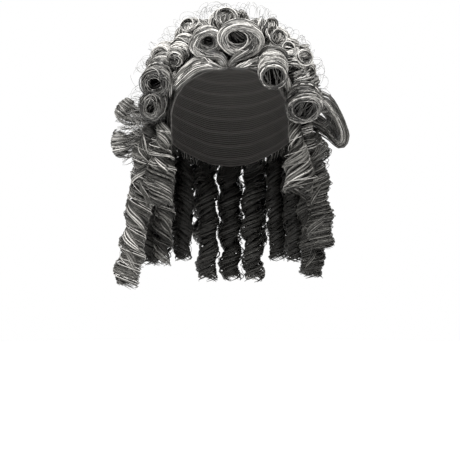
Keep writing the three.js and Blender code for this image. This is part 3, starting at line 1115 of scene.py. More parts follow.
@dataclass
class RingletBuilder:
    """Winds the strands of one ringlet: a ribbon of hair in overlapping turns, some of them open.

    Lengths are in metres. wander is how far wisps and strands stray over the ribbon, as shares of
    its width, and ripple how far they stray off it. crest is how high the middle of a wisp rides and
    sunk how deep its sides lie. Some of the strands, loose_share, rise by loose_rise. frizz and
    lining count the loose strands over the turns and the ones inside them, which are painted darker
    as shade.
    """

    plan: Ringlet
    seed: int
    steps_per_turn: int = 12
    wisp: float = 6.0
    wander: tuple[float, float] = (0.02, 0.006)
    ripple: tuple[float, float] = (0.0005, 0.0002)
    crest: float = 0.002
    sunk: float = 0.0009
    loose_share: float = 0.05
    loose_rise: float = 0.0022
    frizz: int = 14
    frizz_rise: tuple[float, float] = (0.001, 0.003)
    lining: int = 44
    lining_step: float = 0.005
    lock_width: float = 0.015
    lock_strands: int = 12
    lock_crest: float = 0.0012
    core_share: float = 0.55
    core_sides: int = 9
    core_step: float = 0.006

    def __post_init__(self) -> None:
        """Finds the line to wind round, the hand of the turns and the source of chance."""
        self.spine = self.plan.spine()
        self.hand = 1 if self.plan.around > 0 else -1
        self.rng = np.random.default_rng(self.seed)

    def radius_at(self, share: np.ndarray) -> np.ndarray:
        """The ringlet's radius at shares of the way down."""
        grown = blend(self.plan.thick, self.plan.tip, share) * SIZES.ringlet_radius
        swollen = np.interp(share, np.linspace(0, 1, len(self.plan.swells)), self.plan.swells)
        return grown * swollen * blend(0.55, 1, ease(share / 0.06))

    def turns_at(self, along: np.ndarray) -> np.ndarray:
        """How many turns the ribbon has made, metres down the ringlet or past its ends."""
        length = self.spine.length
        places = np.linspace(0, length, 60)
        stops = np.linspace(0, length, len(self.plan.pitches))
        pitch = np.interp(places, stops, self.plan.pitches) * SIZES.ringlet_pitch
        turns = np.concatenate([[0], np.cumsum(np.diff(places) * 2 / (pitch[1:] + pitch[:-1]))])
        past = along - np.clip(along, 0, length)
        return np.interp(along, places, turns) + past / np.where(past < 0, pitch[0], pitch[-1])

    def twine(self, down: np.ndarray, radius: np.ndarray, angle: np.ndarray) -> np.ndarray:
        """Places points round the spine and shifts them as the whole ringlet corkscrews.

        Args:
            down: shares of the way down it.
            radius: metres off it.
            angle: radians round it.

        Returns:
            The points.
        """
        along = down * self.spine.length
        turn = self.hand * TAU * along / SIZES.ringlet_pitch
        shift = SIZES.corkscrew * self.radius_at(down)
        bent = self.spine.offset(along, shift * np.cos(turn), shift * np.sin(turn))
        return self.spine.place(along, radius, angle) + bent

    def build(self, piece: HairPiece) -> None:
        """Adds the ringlet's strands and core to a piece."""
        self.wind(piece)
        self.loosen(piece)
        self.line(piece)
        self.drape(piece)
        self.fill(piece)

    def wind(self, piece: HairPiece) -> None:
        """Adds the strands of the wound ribbon."""
        plan, rng = self.plan, self.rng
        width = plan.ribbon * SIZES.ringlet_pitch * min(1.0, max(plan.pitches))
        combed = comb(rng, int(width / (SIZES.spacing * 1.05 * plan.coarse)), self.wisp)
        count = combed.count
        turns = float(self.turns_at(np.array(self.spine.length)))
        steps = int(turns * self.steps_per_turn) + 4
        begin = each(rng, 0, 0.03, count)
        down = blend(begin, 1 + each(rng, -0.035, 0.015, count), shares(steps))
        across = combed.place + combed.sway(rng, steps, *self.wander, turns)
        begun = rng.uniform(0, TAU)
        angle = begun + self.hand * TAU * self.turns_at(down * self.spine.length - (across - 0.5) * width)
        shingle = 0.66 + 0.42 * arch(np.clip(0.08 + 0.78 * across, 0, 1))
        loose = (each(rng, 0, 1, count) < self.loose_share) * each(rng, 0.5, 1.5, count)
        rise = self.crest * combed.crest - self.sunk + combed.sway(rng, steps, *self.ripple, turns * 1.3)
        rise = rise + self.loose_rise * loose * np.abs(np.sin(angle / 2 + loose * 9))
        paths = off_cap(self.twine(down, self.radius_at(down) * shingle + rise, angle))
        # Painted shade: the ribbon is painted darker towards its edges, in the valleys between its turns, on
        # top of the painted light from its place.
        edge = np.abs(2 * combed.place - 1) ** 2.5
        tone = (0.2 + 0.62 * combed.tone) * self.painted_light(paths, down) * (1 - 0.8 * edge)
        piece.strands(paths, SIZES.strand * plan.coarse, tone, self.seed + 1)

    def painted_light(self, paths: np.ndarray, down: np.ndarray) -> np.ndarray:
        """The painted light on the ribbon at points of it that are so far down: brighter behind, where no
        head shades it, and painted darker as shade at its root.
        """
        plan = self.plan
        rear = unit(plan.away - FRONT)
        facing = unit(paths - self.spine.read(self.spine.points, down * self.spine.length)) @ rear
        bright = blend(plan.light, max(plan.light, plan.rear_light), ease(0.35 + 0.65 * facing))
        return bright * blend(plan.root_light, 1, ease(down / 0.24))

    def loosen(self, piece: HairPiece) -> None:
        """Adds loose strands that wind over the others, more steeply or more flatly."""
        rng, count = self.rng, self.frizz
        share = shares(20)
        middle = each(rng, 0.1, 0.9, count)
        reach = each(rng, 0.08, 0.3, count)
        down = np.clip(middle + reach * (share - 0.5), 0.01, 0.99)
        turned = each(rng, 0.5, 1.6, count) * share
        angle = each(rng, 0, TAU, count) + self.hand * TAU * turned
        low, high = self.frizz_rise
        rise = low + each(rng, 0, high, count) * arch(share)
        paths = off_cap(self.twine(down, self.radius_at(down) + rise, angle))
        piece.strands(paths, SIZES.loose, rng.uniform(0.3, 1.0, count) * self.plan.light, self.seed + 3)

    def line(self, piece: HairPiece) -> None:
        """Adds the strands inside the turns, painted darker as shade, where the turns stand apart and show
        them.
        """
        rng, count = self.rng, self.lining
        widest, tightest = max(self.plan.pitches), min(self.plan.pitches)
        if widest * self.plan.ribbon < widest - 0.15 or widest - tightest > 0.6:
            share = np.linspace(0.01, 0.97, int(self.spine.length / self.lining_step))[None]
            turned = share * self.spine.length / (0.8 * SIZES.ringlet_pitch) * each(rng, 0.8, 1.2, count)
            angle = each(rng, 0, TAU, count) + self.hand * TAU * turned
            radius = self.radius_at(share) * each(rng, 0.62, 0.74, count)
            radius = radius + drift(rng, count, share.size, self.ripple[0], 3)
            paths = off_cap(self.twine(share * np.ones((count, 1)), radius, angle))
            tone = rng.uniform(0.12, 0.5, count) * self.plan.light
            piece.strands(paths, SIZES.strand * 1.1, tone, self.seed + 5)

    def drape(self, piece: HairPiece) -> None:
        """Adds narrow locks that lie over the turns in front, each at a slant of its own."""
        rng, spine = self.rng, self.spine
        share = shares(13)
        full = arch(share)
        for number in range(self.plan.locks):
            combed = comb(rng, self.lock_strands, 3)
            middle = 0.08 + 0.84 * (number + rng.uniform(0.3, 0.7)) / self.plan.locks
            side = spine.read(spine.sides, middle * spine.length)
            other = spine.read(spine.others, middle * spine.length)
            facing = math.atan2(-other[1], -side[1]) + rng.uniform(-0.7, 0.7)
            across = (combed.place - 0.5) * self.lock_width * (0.3 + 0.7 * full) / spine.length
            down = np.clip(middle + rng.uniform(0.13, 0.24) * (share - 0.5) + across, 0.01, 0.99)
            slant = self.hand * rng.uniform(0.2, 0.42) * (1 if rng.uniform() < 0.75 else -1)
            angle = np.broadcast_to(facing + TAU * slant * (share - 0.5), down.shape)
            radius = self.radius_at(down) * (1.12 - 0.32 * (1 - full) ** 2) + self.lock_crest * combed.crest
            # Painted shade: each lock is painted darker towards its ends, where it tucks under the turns.
            tone = (0.12 + 0.68 * combed.tone) * self.plan.light * (0.35 + 0.65 * full)
            paths = off_cap(self.twine(down, radius, angle))
            piece.strands(paths, SIZES.strand, tone, self.seed + 6 + number)

    def fill(self, piece: HairPiece) -> None:
        """Adds the dark core of painted shade that is seen between the turns."""
        length = self.spine.length
        down = np.linspace(0.004, length - 0.010, int(length / self.core_step))[:, None] / length
        angle = TAU * np.arange(self.core_sides) / self.core_sides
        down, angle = np.broadcast_arrays(down, angle)
        piece.core(self.twine(down, self.core_share * self.radius_at(down), angle))


@dataclass(frozen=True)
class Fan:
    """Hair that rises from the parting and winds onto a roll.

    start and spread place its root across the brow, in metres. low and high say how much of the
    roll it covers, from the middle of the barrel (0) to the mouth's inner rim (1). turns is how far
    it winds on, and upright is how steeply its inner strands leave the parting.
    """

    roll: str
    start: float
    spread: float
    low: float = 0.05
    high: float = 0.92
    strands: int = 140
    turns: float = 0.85
    upright: float = 0.0


@dataclass
class BrowHair:
    """The rolls round the brow and temples, and the fans of hair that rise into them.

    Lengths are in metres. The strands of a fan start foot_gap off the cap and lie fan_over off the
    roll, the middle of a wisp fan_crest higher. wander and stray are how far wisps and strands stray
    off the roll and along it. At the parting they are painted darker as shade, root_light as bright.
    """

    rolls: tuple[Roll, ...] = (
        Roll("brow_roll_centre", 12, 38, -10, 6, 0.78, 1.1, 0, 0.46, Wind.COUNTER, light=1.02,
             oval=0.12, shift=0.5, shift_angle=52, crossing=14, bend=8),
        Roll("brow_roll_left", -28, 39, 25, 5, 0.72, 0.8, 0, 0.42, Wind.CLOCKWISE, light=0.98,
             oval=0.08, shift=0.5, shift_angle=-38, crossing=4, bend=8),
        Roll("brow_roll_right", 40, 55, -29, 0, 1.2, 0.88, 0, 0.84, Wind.CLOCKWISE, light=0.9,
             oval=0.0, shift=0.0, crossing=10, taper=0.12, bend=18),
        Roll("temple_roll_left", -75, 60.5, 50, 8, 1.25, 0.93, 0, 0.52, Wind.CLOCKWISE, light=1.04,
             shift=0.1, crossing=4, taper=0.05, bend=-2),
        Roll("temple_roll_right", 68, 78, -50, 10, 1.0, 0.96, 0, 0.7, Wind.COUNTER, light=0.93,
             oval=-0.1, shift=0.1, crossing=16),
        Roll("ear_roll_left", -76, 84, 80, 14, 0.9, 0.85, 0, 0.4, Wind.CLOCKWISE, light=0.85,
             oval=0.1, shift=0.4, shift_angle=60, crossing=6),
    )
    fans: tuple[Fan, ...] = (
        Fan("brow_roll_centre", -0.0005, 0.009, upright=0.3),
        Fan("brow_roll_left", -0.0085, 0.009, strands=185, upright=1.6),
    )
    parting_around: float = -2.0
    foot_gap: float = 0.003
    fan_steps: int = 36
    fan_over: float = 0.0012
    fan_crest: float = 0.0014
    wander: tuple[float, float] = (0.0009, 0.0004)
    stray: tuple[float, float] = (0.0024, 0.0008)
    root_light: float = 0.5

    def root(self, aside: float) -> np.ndarray:
        """A place on the hairline, so many metres aside from the parting."""
        around = self.parting_around + math.degrees(aside / (HEAD.length / 2))
        return HEAD.point(around, HEAD.edge(around) + SIZES.sweep_overhang / 2, HEAD.wall + self.foot_gap)

    @staticmethod
    def meeting(form: RollForm, start: np.ndarray, radius: float) -> float:
        """The angle at which a strand that comes straight from its start lies against a roll."""
        reach = start - form.spine.points[-1]
        side = reach @ form.spine.sides[-1] / (1 - form.plan.oval)
        other = reach @ form.spine.others[-1] / (1 + form.plan.oval)
        far = max(math.hypot(side, other), radius * 1.02)
        return math.atan2(other, side) + form.plan.wind.value * math.acos(radius / far)

    def fan(self, piece: HairPiece, fan: Fan, plan: Roll, seed: int) -> None:
        """Adds strands that rise from the parting, run onto a roll and wind into its mouth.

        Args:
            piece: the piece to add them to.
            fan: how the strands lie.
            plan: the roll that they join.
            seed: what chance starts from.
        """
        rng = np.random.default_rng(seed)
        form = RollForm(plan, plan.spine())
        hand = plan.wind.value
        combed = comb(rng, fan.strands, 6)
        wound_steps = self.fan_steps * 2 // 3
        share = np.linspace(0, 1, wound_steps)
        wander = combed.sway(rng, self.fan_steps, *self.wander, 1.2)[:, -wound_steps:]
        stray = combed.sway(rng, wound_steps, *self.stray, 0.8) * ease(share * 4)
        paths = []
        for i, (place, crest) in enumerate(zip(combed.place[:, 0], combed.crest[:, 0])):
            start = self.root(fan.start + fan.spread * (1 - place if hand > 0 else place))
            start = start + np.array([0, -0.0025, 0.001]) * crest
            covered = blend(fan.low, fan.high, place)
            travel = form.reach / 2 + covered * (form.barrel / 2 + math.pi * form.lip)
            over = self.fan_over + self.fan_crest * crest
            meet = self.meeting(form, start, float(form.profile(travel)[1]) + over)
            inward = np.minimum(travel + stray[i] + form.lip * 1.2 * share ** 1.5, form.reach - 0.004)
            along, radius = form.profile(inward)
            angle = meet + hand * TAU * fan.turns * rng.uniform(0.8, 1.2) * share
            wound = form.place(along, radius + over + wander[i], angle)
            upright = fan.upright * place ** 2
            rise = unit(unit(wound[0] - start) + np.array([-0.3 * hand * upright, -0.35, 0.5 + upright]))
            paths.append(lead_in(start, rise * (0.35 + 0.2 * upright), wound, self.fan_steps - wound_steps))
        # Painted shade: the strands are painted darker at the parting, brightening as they rise.
        painted_light = blend(self.root_light, 1, ease(2.4 * shares(self.fan_steps)))
        piece.strands(off_cap(np.array(paths)), SIZES.strand, combed.tone * plan.light * painted_light, seed + 1)

    def build(self) -> None:
        """Builds each roll as its own piece, with the fan that rises into it."""
        for number, plan in enumerate(self.rolls):
            piece = HairPiece.over(plan.name)
            RollBuilder(plan, 100 + 10 * number).build(piece)
            for fan in self.fans:
                if fan.roll == plan.name:
                    self.fan(piece, fan, plan, 300 + number)
            piece.make()


@dataclass(frozen=True)
class Coil:
    """A small open ring of hair that lies on a roll and looks forward.

    around, down and out place its middle. radius is the ring's, band the width of the lock that
    makes it, root the angle, in degrees from the right, at which the lock comes off the roll, and
    fill the share of the band that spreads over the ring's opening. The lock winds turns times, one
    way or the other (hand). wander is how far wisps and strands stray, crest how high the middle of
    a wisp rides, rise how far the lock climbs as it winds and sunk how deep it starts, in metres.
    """

    roll: str
    around: float
    down: float
    out: float
    radius: float
    band: float
    root: float
    turns: float
    hand: int = 1
    # light is the painted light on the coil: a factor on its strands' tone.
    light: float = 1.15
    strands: int = 26
    fill: float = 0.3
    wander: tuple[float, float] = (0.0006, 0.0003)
    crest: float = 0.0012
    rise: float = 0.006
    sunk: float = 0.016

    def build(self, piece: HairPiece, seed: int) -> None:
        """Adds the coil's strands to a piece, with chance that starts from the seed."""
        rng = np.random.default_rng(seed)
        seat = HEAD.seat(self.around, self.down)
        middle = seat.point + seat.outward * self.out
        face = unit(seat.outward * 0.5 + np.array([0.0, -1.0, 0.1]))
        level = unit(np.cross(face, UP))
        level = -level if level[0] < 0 else level
        upright = unit(np.cross(level, face))
        upright = -upright if upright[2] < 0 else upright
        combed = comb(rng, self.strands, 5)
        steps = int(self.turns * 15) + 6
        share = shares(steps)
        turned = self.hand * TAU * self.turns * each(rng, 0.85, 1.1, self.strands)
        angle = math.radians(self.root) + turned * share
        across = (combed.place - 0.5) * self.band
        depth = across * 1.1 + self.rise * (share - 0.7) + combed.sway(rng, steps, *self.wander, 1.2)
        begun = ease((0.22 - share) / 0.22)
        radius = (self.radius + self.fill * across + self.crest * combed.crest) * (1 + 1.3 * begun)
        radius = radius * (1 - 0.14 * share) + combed.sway(rng, steps, *self.wander, 1.4)
        paths = middle + level * (radius * np.cos(angle))[..., None]
        paths = paths + upright * (radius * np.sin(angle))[..., None]
        paths = paths + face * (depth - self.sunk * begun)[..., None]
        piece.strands(off_cap(paths), SIZES.strand, combed.tone * self.light, seed + 1)


@dataclass(frozen=True)
class Knob:
    """A lock that leaves the side of the head and winds round a short upright line.

    around and down seat it, reach carries it off the head and fall carries it down. radius and
    height size the winding, and lean tips its line, in degrees. The lock leaves the head stem_gap
    off the cap and winds turns times, from begin, in degrees from the front. wander is how far wisps
    and strands stray along the line and crest how high the middle of a wisp rides, in metres.
    """

    name: str
    around: float
    down: float
    reach: float
    fall: float
    radius: float
    height: float
    lean: float
    # light is the painted light on the lock: a factor on its strands' tone.
    light: float = 0.95
    strands: int = 54
    turns: float = 1.5
    begin: float = -55
    lead_steps: int = 9
    wound_steps: int = 26
    stem_gap: float = 0.003
    wander: tuple[float, float] = (0.0012, 0.0004)
    crest: float = 0.0018
    core_sides: int = 12

    @property
    def away(self) -> np.ndarray:
        """The way straight off the side of the head."""
        return np.array([math.copysign(1.0, self.around), 0.0, 0.0])

    @property
    def root(self) -> np.ndarray:
        """Where the lock leaves the head."""
        seat = HEAD.seat(self.around, self.down)
        return seat.point + seat.outward * self.stem_gap

    @property
    def middle(self) -> np.ndarray:
        """The middle of the winding."""
        return self.root + self.away * (self.reach - self.radius) - UP * self.fall

    @property
    def line(self) -> np.ndarray:
        """The way of the line that the lock winds round."""
        tip = math.radians(self.lean)
        return np.array([math.sin(tip), 0.0, math.cos(tip)])

    @property
    def outer(self) -> np.ndarray:
        """The way off the head, square to the line."""
        return unit(self.away - self.line * np.dot(self.away, self.line))

    def winding(self, rng: np.random.Generator, combed: Combing) -> np.ndarray:
        """Points of the strands where they wind round the line."""
        turned = shares(self.wound_steps)
        spin = TAU * self.turns * each(rng, 0.85, 1.1, self.strands)
        angle = math.radians(self.begin) + spin * turned
        level = (combed.place - 0.5) * self.height + combed.sway(rng, self.wound_steps, *self.wander, 1.2)
        rounded = np.sqrt(np.clip(1 - 0.88 * (2 * level / self.height) ** 2, 0.12, 1))
        level = level + 0.16 * self.height * (turned - 0.5)
        radius = self.radius * rounded * (1 - 0.16 * turned) + self.crest * combed.crest
        aside = FRONT * (radius * np.cos(angle))[..., None] + self.outer * (radius * np.sin(angle))[..., None]
        return self.middle + self.line * level[..., None] + aside

    def build(self, piece: HairPiece, seed: int) -> None:
        """Adds the lock's strands and cores to a piece, with chance that starts from the seed."""
        rng = np.random.default_rng(seed)
        combed = comb(rng, self.strands, 6)
        leave = (self.away + 0.3 * FRONT) * 0.3
        paths = []
        for place, wound in zip(combed.place[:, 0], self.winding(rng, combed)):
            start = self.root + FRONT * rng.uniform(0.002, 0.010)
            start = start + self.line * (place - 0.5) * self.height * 0.4
            paths.append(lead_in(start, leave, wound, self.lead_steps))
        # Painted shade: the lock is painted darker where it leaves the head.
        painted_light = blend(0.12, 1, ease(shares(len(paths[0])) * 2.6))
        tone = (0.2 + 0.66 * combed.tone) * self.light * painted_light
        piece.strands(off_cap(np.array(paths)), SIZES.strand, tone, seed + 1)
        self.tangle(piece, rng, seed + 2)
        self.fill(piece)

    def tangle(self, piece: HairPiece, rng: np.random.Generator, seed: int) -> None:
        """Adds fine strands that cross between the head and the winding.

        Args:
            piece: the piece to add them to.
            rng: the source of chance.
            seed: what the strands' random turn starts from.
        """
        paths = []
        for _ in range(self.strands):
            low, high = rng.uniform(-0.9, 0.7, 2) * self.height
            start = self.root + self.line * low + FRONT * rng.uniform(0.004, 0.014)
            end = self.middle + self.line * high + FRONT * rng.uniform(0.4, 1.0) * self.radius
            gap = np.linalg.norm(end - start)
            bow = self.line * rng.normal(0, 0.35) * gap + FRONT * rng.uniform(0, 0.25) * gap
            third = (end - start) / 3
            paths.append(bezier([start, start + third + bow, end - third - bow * 0.6, end], 12))
        tone = rng.uniform(0.3, 0.85, len(paths)) * self.light
        piece.strands(off_cap(np.array(paths)), SIZES.loose, tone, seed)

    def fill(self, piece: HairPiece) -> None:
        """Adds the painted-shade dark cores of the winding and of the stem that leads to it."""
        angle = TAU * np.arange(self.core_sides)[:, None] / self.core_sides
        ring = FRONT * np.cos(angle) + self.outer * np.sin(angle)
        rings = []
        for share in np.linspace(-0.46, 0.46, 8):
            size = 0.78 * self.radius * math.sqrt(1 - 3.2 * share ** 2)
            rings.append(self.middle + self.line * share * self.height + ring * size)
        piece.core(np.array(rings))
        ring = self.line * np.cos(angle) * self.height * 0.2 + FRONT * np.sin(angle) * 0.004
        stem = self.middle - self.root
        rings = [self.root + stem * share + ring * (1 - 0.5 * share) for share in np.linspace(0.02, 1, 6)]
        piece.core(np.array(rings))


@dataclass
class CrestHair:
    """The smaller rolls along the crest and at the sides, with the coils that lie on them."""

    rolls: tuple[Roll, ...] = (
        Roll("crest_roll_left_1", -38, 16, 75, 0, 0.85, 0.64, 0.1, 0.4, Wind.COUNTER, light=1.16),
        Roll("crest_roll_top", -110, 12, 178, -7, 1.05, 0.64, 0, 0.12, Wind.CLOCKWISE, light=1.17,
             crossing=0),
        Roll("crest_roll_left_2", -64, 27, -80, 0, 0.8, 0.62, 0.1, 0.4, Wind.CLOCKWISE, light=1.3),
        Roll("crest_roll_left_3", -57, 41, 20, 0, 1.05, 0.7, 0.1, 0.12, Wind.COUNTER, light=1.16,
             crossing=0, taper=0.3),
        Roll("crest_roll_left_4", -92, 50, 75, 0, 0.9, 0.65, 0.45, 0.55, Wind.CLOCKWISE, light=1.35),
        Roll("crest_roll_right_1", 46, 24, 60, 0, 0.7, 0.64, 0.1, 0.5, Wind.COUNTER, light=1.2),
        Roll("crest_roll_right_2", 64, 31, 75, 0, 0.75, 0.66, 0.12, 0.62, Wind.COUNTER, light=1.2),
        Roll("crest_roll_right_3", 65, 62, 165, 8, 0.9, 0.62, 0.1, 0.5, Wind.CLOCKWISE, light=1.5),
        Roll("crest_roll_right_4", 88, 62, 180, 5, 0.7, 0.65, 0.6, 0.5, Wind.COUNTER, light=1.45),
        Roll("side_roll_right", 73, 63, 8, 4, 0.75, 0.62, 0.15, 0.4, Wind.COUNTER, light=1.5),
    )
    coils: tuple[Coil, ...] = (
        Coil("crest_roll_top", -5, 28, 0.021, 0.0095, 0.0100, 200, 1.2, light=1.4, strands=40, fill=0.8),
        Coil("crest_roll_right_1", 44.5, 47, 0.025, 0.0085, 0.0044, 80, 1.4),
        Coil("crest_roll_right_1", 60, 32, 0.022, 0.0064, 0.0040, 140, 1.3),
        Coil("crest_roll_right_2", 50, 55, 0.025, 0.0076, 0.0052, 120, 1.6),
        Coil("crest_roll_right_3", 66, 59, 0.028, 0.0082, 0.0052, 60, 1.5),
        Coil("crest_roll_right_4", 74, 66, 0.024, 0.0066, 0.0046, 20, 1.4),
        Coil("crest_roll_left_2", -52, 35, 0.024, 0.0070, 0.0048, 100, 1.4, -1),
        Coil("crest_roll_left_4", -86, 60, 0.024, 0.0064, 0.0044, 160, 1.4, -1),
    )
    knobs: tuple[Knob, ...] = (
        Knob("side_roll_left_1", -92, 92, 0.0495, -0.012, 0.0080, 0.024, 36),
        Knob("side_roll_left_2", -97, 95, 0.0575, 0.022, 0.0092, 0.028, -8),
    )

    def build(self) -> None:
        """Builds each roll and knob as its own piece."""
        for number, plan in enumerate(self.rolls):
            piece = HairPiece.over(plan.name)
            RollBuilder(plan, 400 + 10 * number, wisp=6.0).build(piece)
            for place, coil in enumerate(self.coils):
                if coil.roll == plan.name:
                    coil.build(piece, 520 + 4 * place)
            piece.make()
        for number, knob in enumerate(self.knobs):
            piece = HairPiece.over(knob.name)
            knob.build(piece, 600 + 10 * number)
            piece.make()


@dataclass(frozen=True)
class CrownRow:
    """A row of rolls across the back of the crown, from one angle around the head to another."""

    name: str
    count: int
    start: float
    stop: float
    down: float
    length: float
    radius: float


@dataclass
class CrownHair:
    """The rows of rolls over the back of the crown."""

    rows: tuple[CrownRow, ...] = (
        CrownRow("crown_roll_high", 3, 120, 240, 28, 1.0, 0.88),
        CrownRow("crown_roll_middle", 4, 112, 248, 49, 1.05, 0.92),
        CrownRow("crown_roll_low", 5, 110, 250, 72, 1.1, 0.92),
    )
    bore: float = 0.45
    # light is the painted light on these rolls.
    light: float = 0.98
    coarse: float = 1.52

    def build(self) -> None:
        """Builds each roll as its own piece."""
        for level, row in enumerate(self.rows):
            for i, around in enumerate(np.linspace(row.start, row.stop, row.count)):
                wind = Wind.COUNTER if (i + level) % 2 else Wind.CLOCKWISE
                plan = Roll(f"{row.name}_{i + 1}", float(around), row.down, 0, 0, row.length, row.radius, 0,
                            self.bore, wind, bow=True, light=self.light)
                piece = HairPiece.over(plan.name)
                RollBuilder(plan, 700 + 50 * level + 10 * i, 13, coarse=self.coarse).build(piece)
                piece.make()


@dataclass(frozen=True)
class NapeTier:
    """A tier of ringlets across the nape, from one angle around the head to another."""

    name: str
    count: int
    start: float
    stop: float
    down: float
    lean: float
    drop: float
    thick: float
    tip: float


@dataclass
class RingletHair:
    """The ringlets at the sides and across the nape."""

    # The inner ringlets have low light: painted shade where the head would shade them.
    ringlets: tuple[Ringlet, ...] = (
        Ringlet("ringlet_left_1", -84, 96, 0.11, -0.05, 0.92, 0.1, 0.08, 1.0, 1.15,
                (0.42, 0.4, 0.45, 1.1, 0.95, 0.7, 0.46, 0.44), 0.76, 1.1, root_light=0.35, coarse=1.1,
                swells=(0.9, 1.15, 1.2, 1.18, 0.84, 1.1, 1.15, 0.82, 1.0, 0.94, 1.05, 0.8), locks=6),
        Ringlet("ringlet_left_2", -67, 94, 0, -0.02, 0.48, 0.3, 0, 1.12, 1.1,
                (2.6, 2.0, 1.0, 0.8, 1.2), light=1.0, root_light=1.0,
                swells=(0.5, 0.7, 0.85, 0.8, 1.16, 1.14, 0.9, 1.0), locks=3),
        Ringlet("ringlet_left_3", -101, 104, 0, 0, 0.72, 0.3, 0, 0.92, 0.88,
                (1.0, 1.0, 1.3, 1.4, 1.1), 1.05, 0.72, coarse=1.1,
                swells=(1.0, 0.95, 0.72, 0.95, 0.8, 0.9), locks=2),
        Ringlet("ringlet_left_4", -114, 106, 0.13, 0, 0.7, 0.3, 0, 0.85, 0.8, light=0.3, coarse=1.4),
        Ringlet("ringlet_left_5", -131, 114, 0, 0, 0.6, 0.3, 0, 0.75, 0.7, light=0.12, coarse=1.4),
        Ringlet("ringlet_right_1", 89, 47, 0.18, 0, 0.27, 0, 0, 0.8, 0.7, (0.5, 0.5)),
        Ringlet("ringlet_right_2", 78, 92, 0.03, 0, 0.2, 0.2, 0, 0.8, 0.78, (0.5, 0.5)),
        Ringlet("ringlet_right_3", 62, 93, 0.02, 0.03, 0.42, 0.3, 0, 0.85, 1.3,
                (1.1, 1.2, 1.5, 1.5), 1.3, 0.92, root_light=0.5, swells=(0.45, 0.5, 0.62, 1.12, 1.08, 1.0)),
        Ringlet("ringlet_right_4", 86, 98, 0.11, 0, 0.68, 0.1, 0, 1.0, 1.05,
                (1.3, 1.2, 0.9, 0.42, 0.38, 0.38), 0.85, 0.8, coarse=1.1,
                swells=(1.3, 1.45, 1.3, 1.05, 0.78, 1.02, 1.04, 0.98), locks=4),
        Ringlet("ringlet_right_5", 98, 103, 0.08, 0, 0.8, 0.2, 0, 0.95, 1.0,
                (1.1, 1.0, 0.8, 0.5, 0.5), 0.95, 0.55, coarse=1.35,
                swells=(1.0, 1.0, 0.9, 1.0, 0.8, 1.05, 0.9), locks=4),
        Ringlet("ringlet_right_6", 112, 106, 0.02, 0, 0.68, 0.3, 0, 1.0, 0.9, light=0.16, coarse=1.4),
        Ringlet("ringlet_right_7", 131, 114, 0, 0, 0.6, 0.3, 0, 0.75, 0.7, light=0.12, coarse=1.4),
    )
    tiers: tuple[NapeTier, ...] = (
        NapeTier("ringlet_nape_upper", 7, 124, 236, 92, 0.07, 0.72, 1.1, 0.95),
        NapeTier("ringlet_nape_lower", 3, 154, 206, 114, -0.07, 0.72, 0.95, 0.85),
    )
    nape_hug: float = 0.3
    # nape_light is painted shade on the nape ringlets in front, and nape_rear_light painted light behind
    # them.
    nape_light: float = 0.38
    nape_rear_light: float = 1.5
    nape_coarse: float = 1.65

    def plans(self) -> list[Ringlet]:
        """All ringlets, those of the tiers worked out."""
        found = list(self.ringlets)
        for tier in self.tiers:
            for i, around in enumerate(np.linspace(tier.start, tier.stop, tier.count)):
                found.append(Ringlet(
                    f"{tier.name}_{i + 1}", float(around), tier.down, tier.lean, 0, tier.drop,
                    self.nape_hug, 0, tier.thick, tier.tip, light=self.nape_light,
                    rear_light=self.nape_rear_light, coarse=self.nape_coarse))
        return found

    def build(self) -> None:
        """Builds each ringlet as its own piece."""
        for number, plan in enumerate(self.plans()):
            piece = HairPiece.over(plan.name, Slot.SHADED)
            RingletBuilder(plan, 1000 + 10 * number).build(piece)
            piece.make()


@dataclass
class SideLoop:
    """The wide ribbon-like loop of hair at the right.

    out, fall and back are the stations of its line: out and back as shares of its reach, fall of its
    drop. spread widens the ribbon as it comes back, and inset is the share of its width that lies on
    the inner side of the line. inner_light is the painted shade on the inside of the loop, as a share
    of the rest's tone, and twist turns the ribbon, in degrees. The strands lie in two layers, metres
    off the line, with body and crest over them.
    """

    name: str = "side_loop_right"
    around: float = 84
    down: float = 84
    reach: float = 0.055
    drop: float = 0.045
    width: float = 0.020
    spread: float = 0.42
    inset: float = 0.5
    inner_light: float = 0.3
    twist: float = 64
    out: tuple[float, ...] = (0.05, 0.52, 0.79, 0.95, 0.90, 0.70, 0.47, 0.2)
    fall: tuple[float, ...] = (0.0, -0.12, 0.24, 0.72, 0.93, 0.71, 0.50, 0.36)
    back: tuple[float, ...] = (0.0, 0.0, 0.02, 0.05, 0.1, 0.16, 0.18, 0.2)
    steps: int = 30
    strands: int = 110
    layers: tuple[float, float] = (-0.0016, 0.0006)
    body: float = 0.0018
    crest: float = 0.001
    wander: tuple[float, float] = (0.0012, 0.0005)
    seed: int = 1500

    def build(self) -> None:
        """Builds the loop from strands that run along it."""
        seat = HEAD.seat(self.around, self.down)
        rows = np.array([self.out, self.back, self.fall]).T * np.array([self.reach, self.reach, -self.drop])
        spine = Spine(through(seat.point + rows, self.steps), FRONT)
        rng = np.random.default_rng(self.seed)
        combed = comb(rng, self.strands, 6)
        place = combed.place
        share = shares(self.steps)
        wider = self.spread * ease((share - 0.55) / 0.25)
        across = (place * (1 + wider) - self.inset) * self.width
        across = across + combed.sway(rng, self.steps, *self.wander, 1.3)
        layer = np.where(np.arange(self.strands)[:, None] % 3 == 0, *self.layers)
        thick = layer + self.body * (1 - (2 * place - 1) ** 2) + self.crest * combed.crest
        along = np.broadcast_to(spine.marks, across.shape)
        turn = math.radians(self.twist)
        aside = across * math.cos(turn) - thick * math.sin(turn)
        beside = across * math.sin(turn) + thick * math.cos(turn)
        paths = spine.read(spine.points, along) + spine.offset(along, aside, beside)
        # Painted shade: the inner part of the returning ribbon is painted darker.
        inner = ease((place - 0.42) / 0.4) * ease(share / 0.2)
        piece = HairPiece.over(self.name)
        piece.strands(paths, SIZES.strand, combed.tone * blend(1.0, self.inner_light, inner), self.seed + 1)
        piece.make()


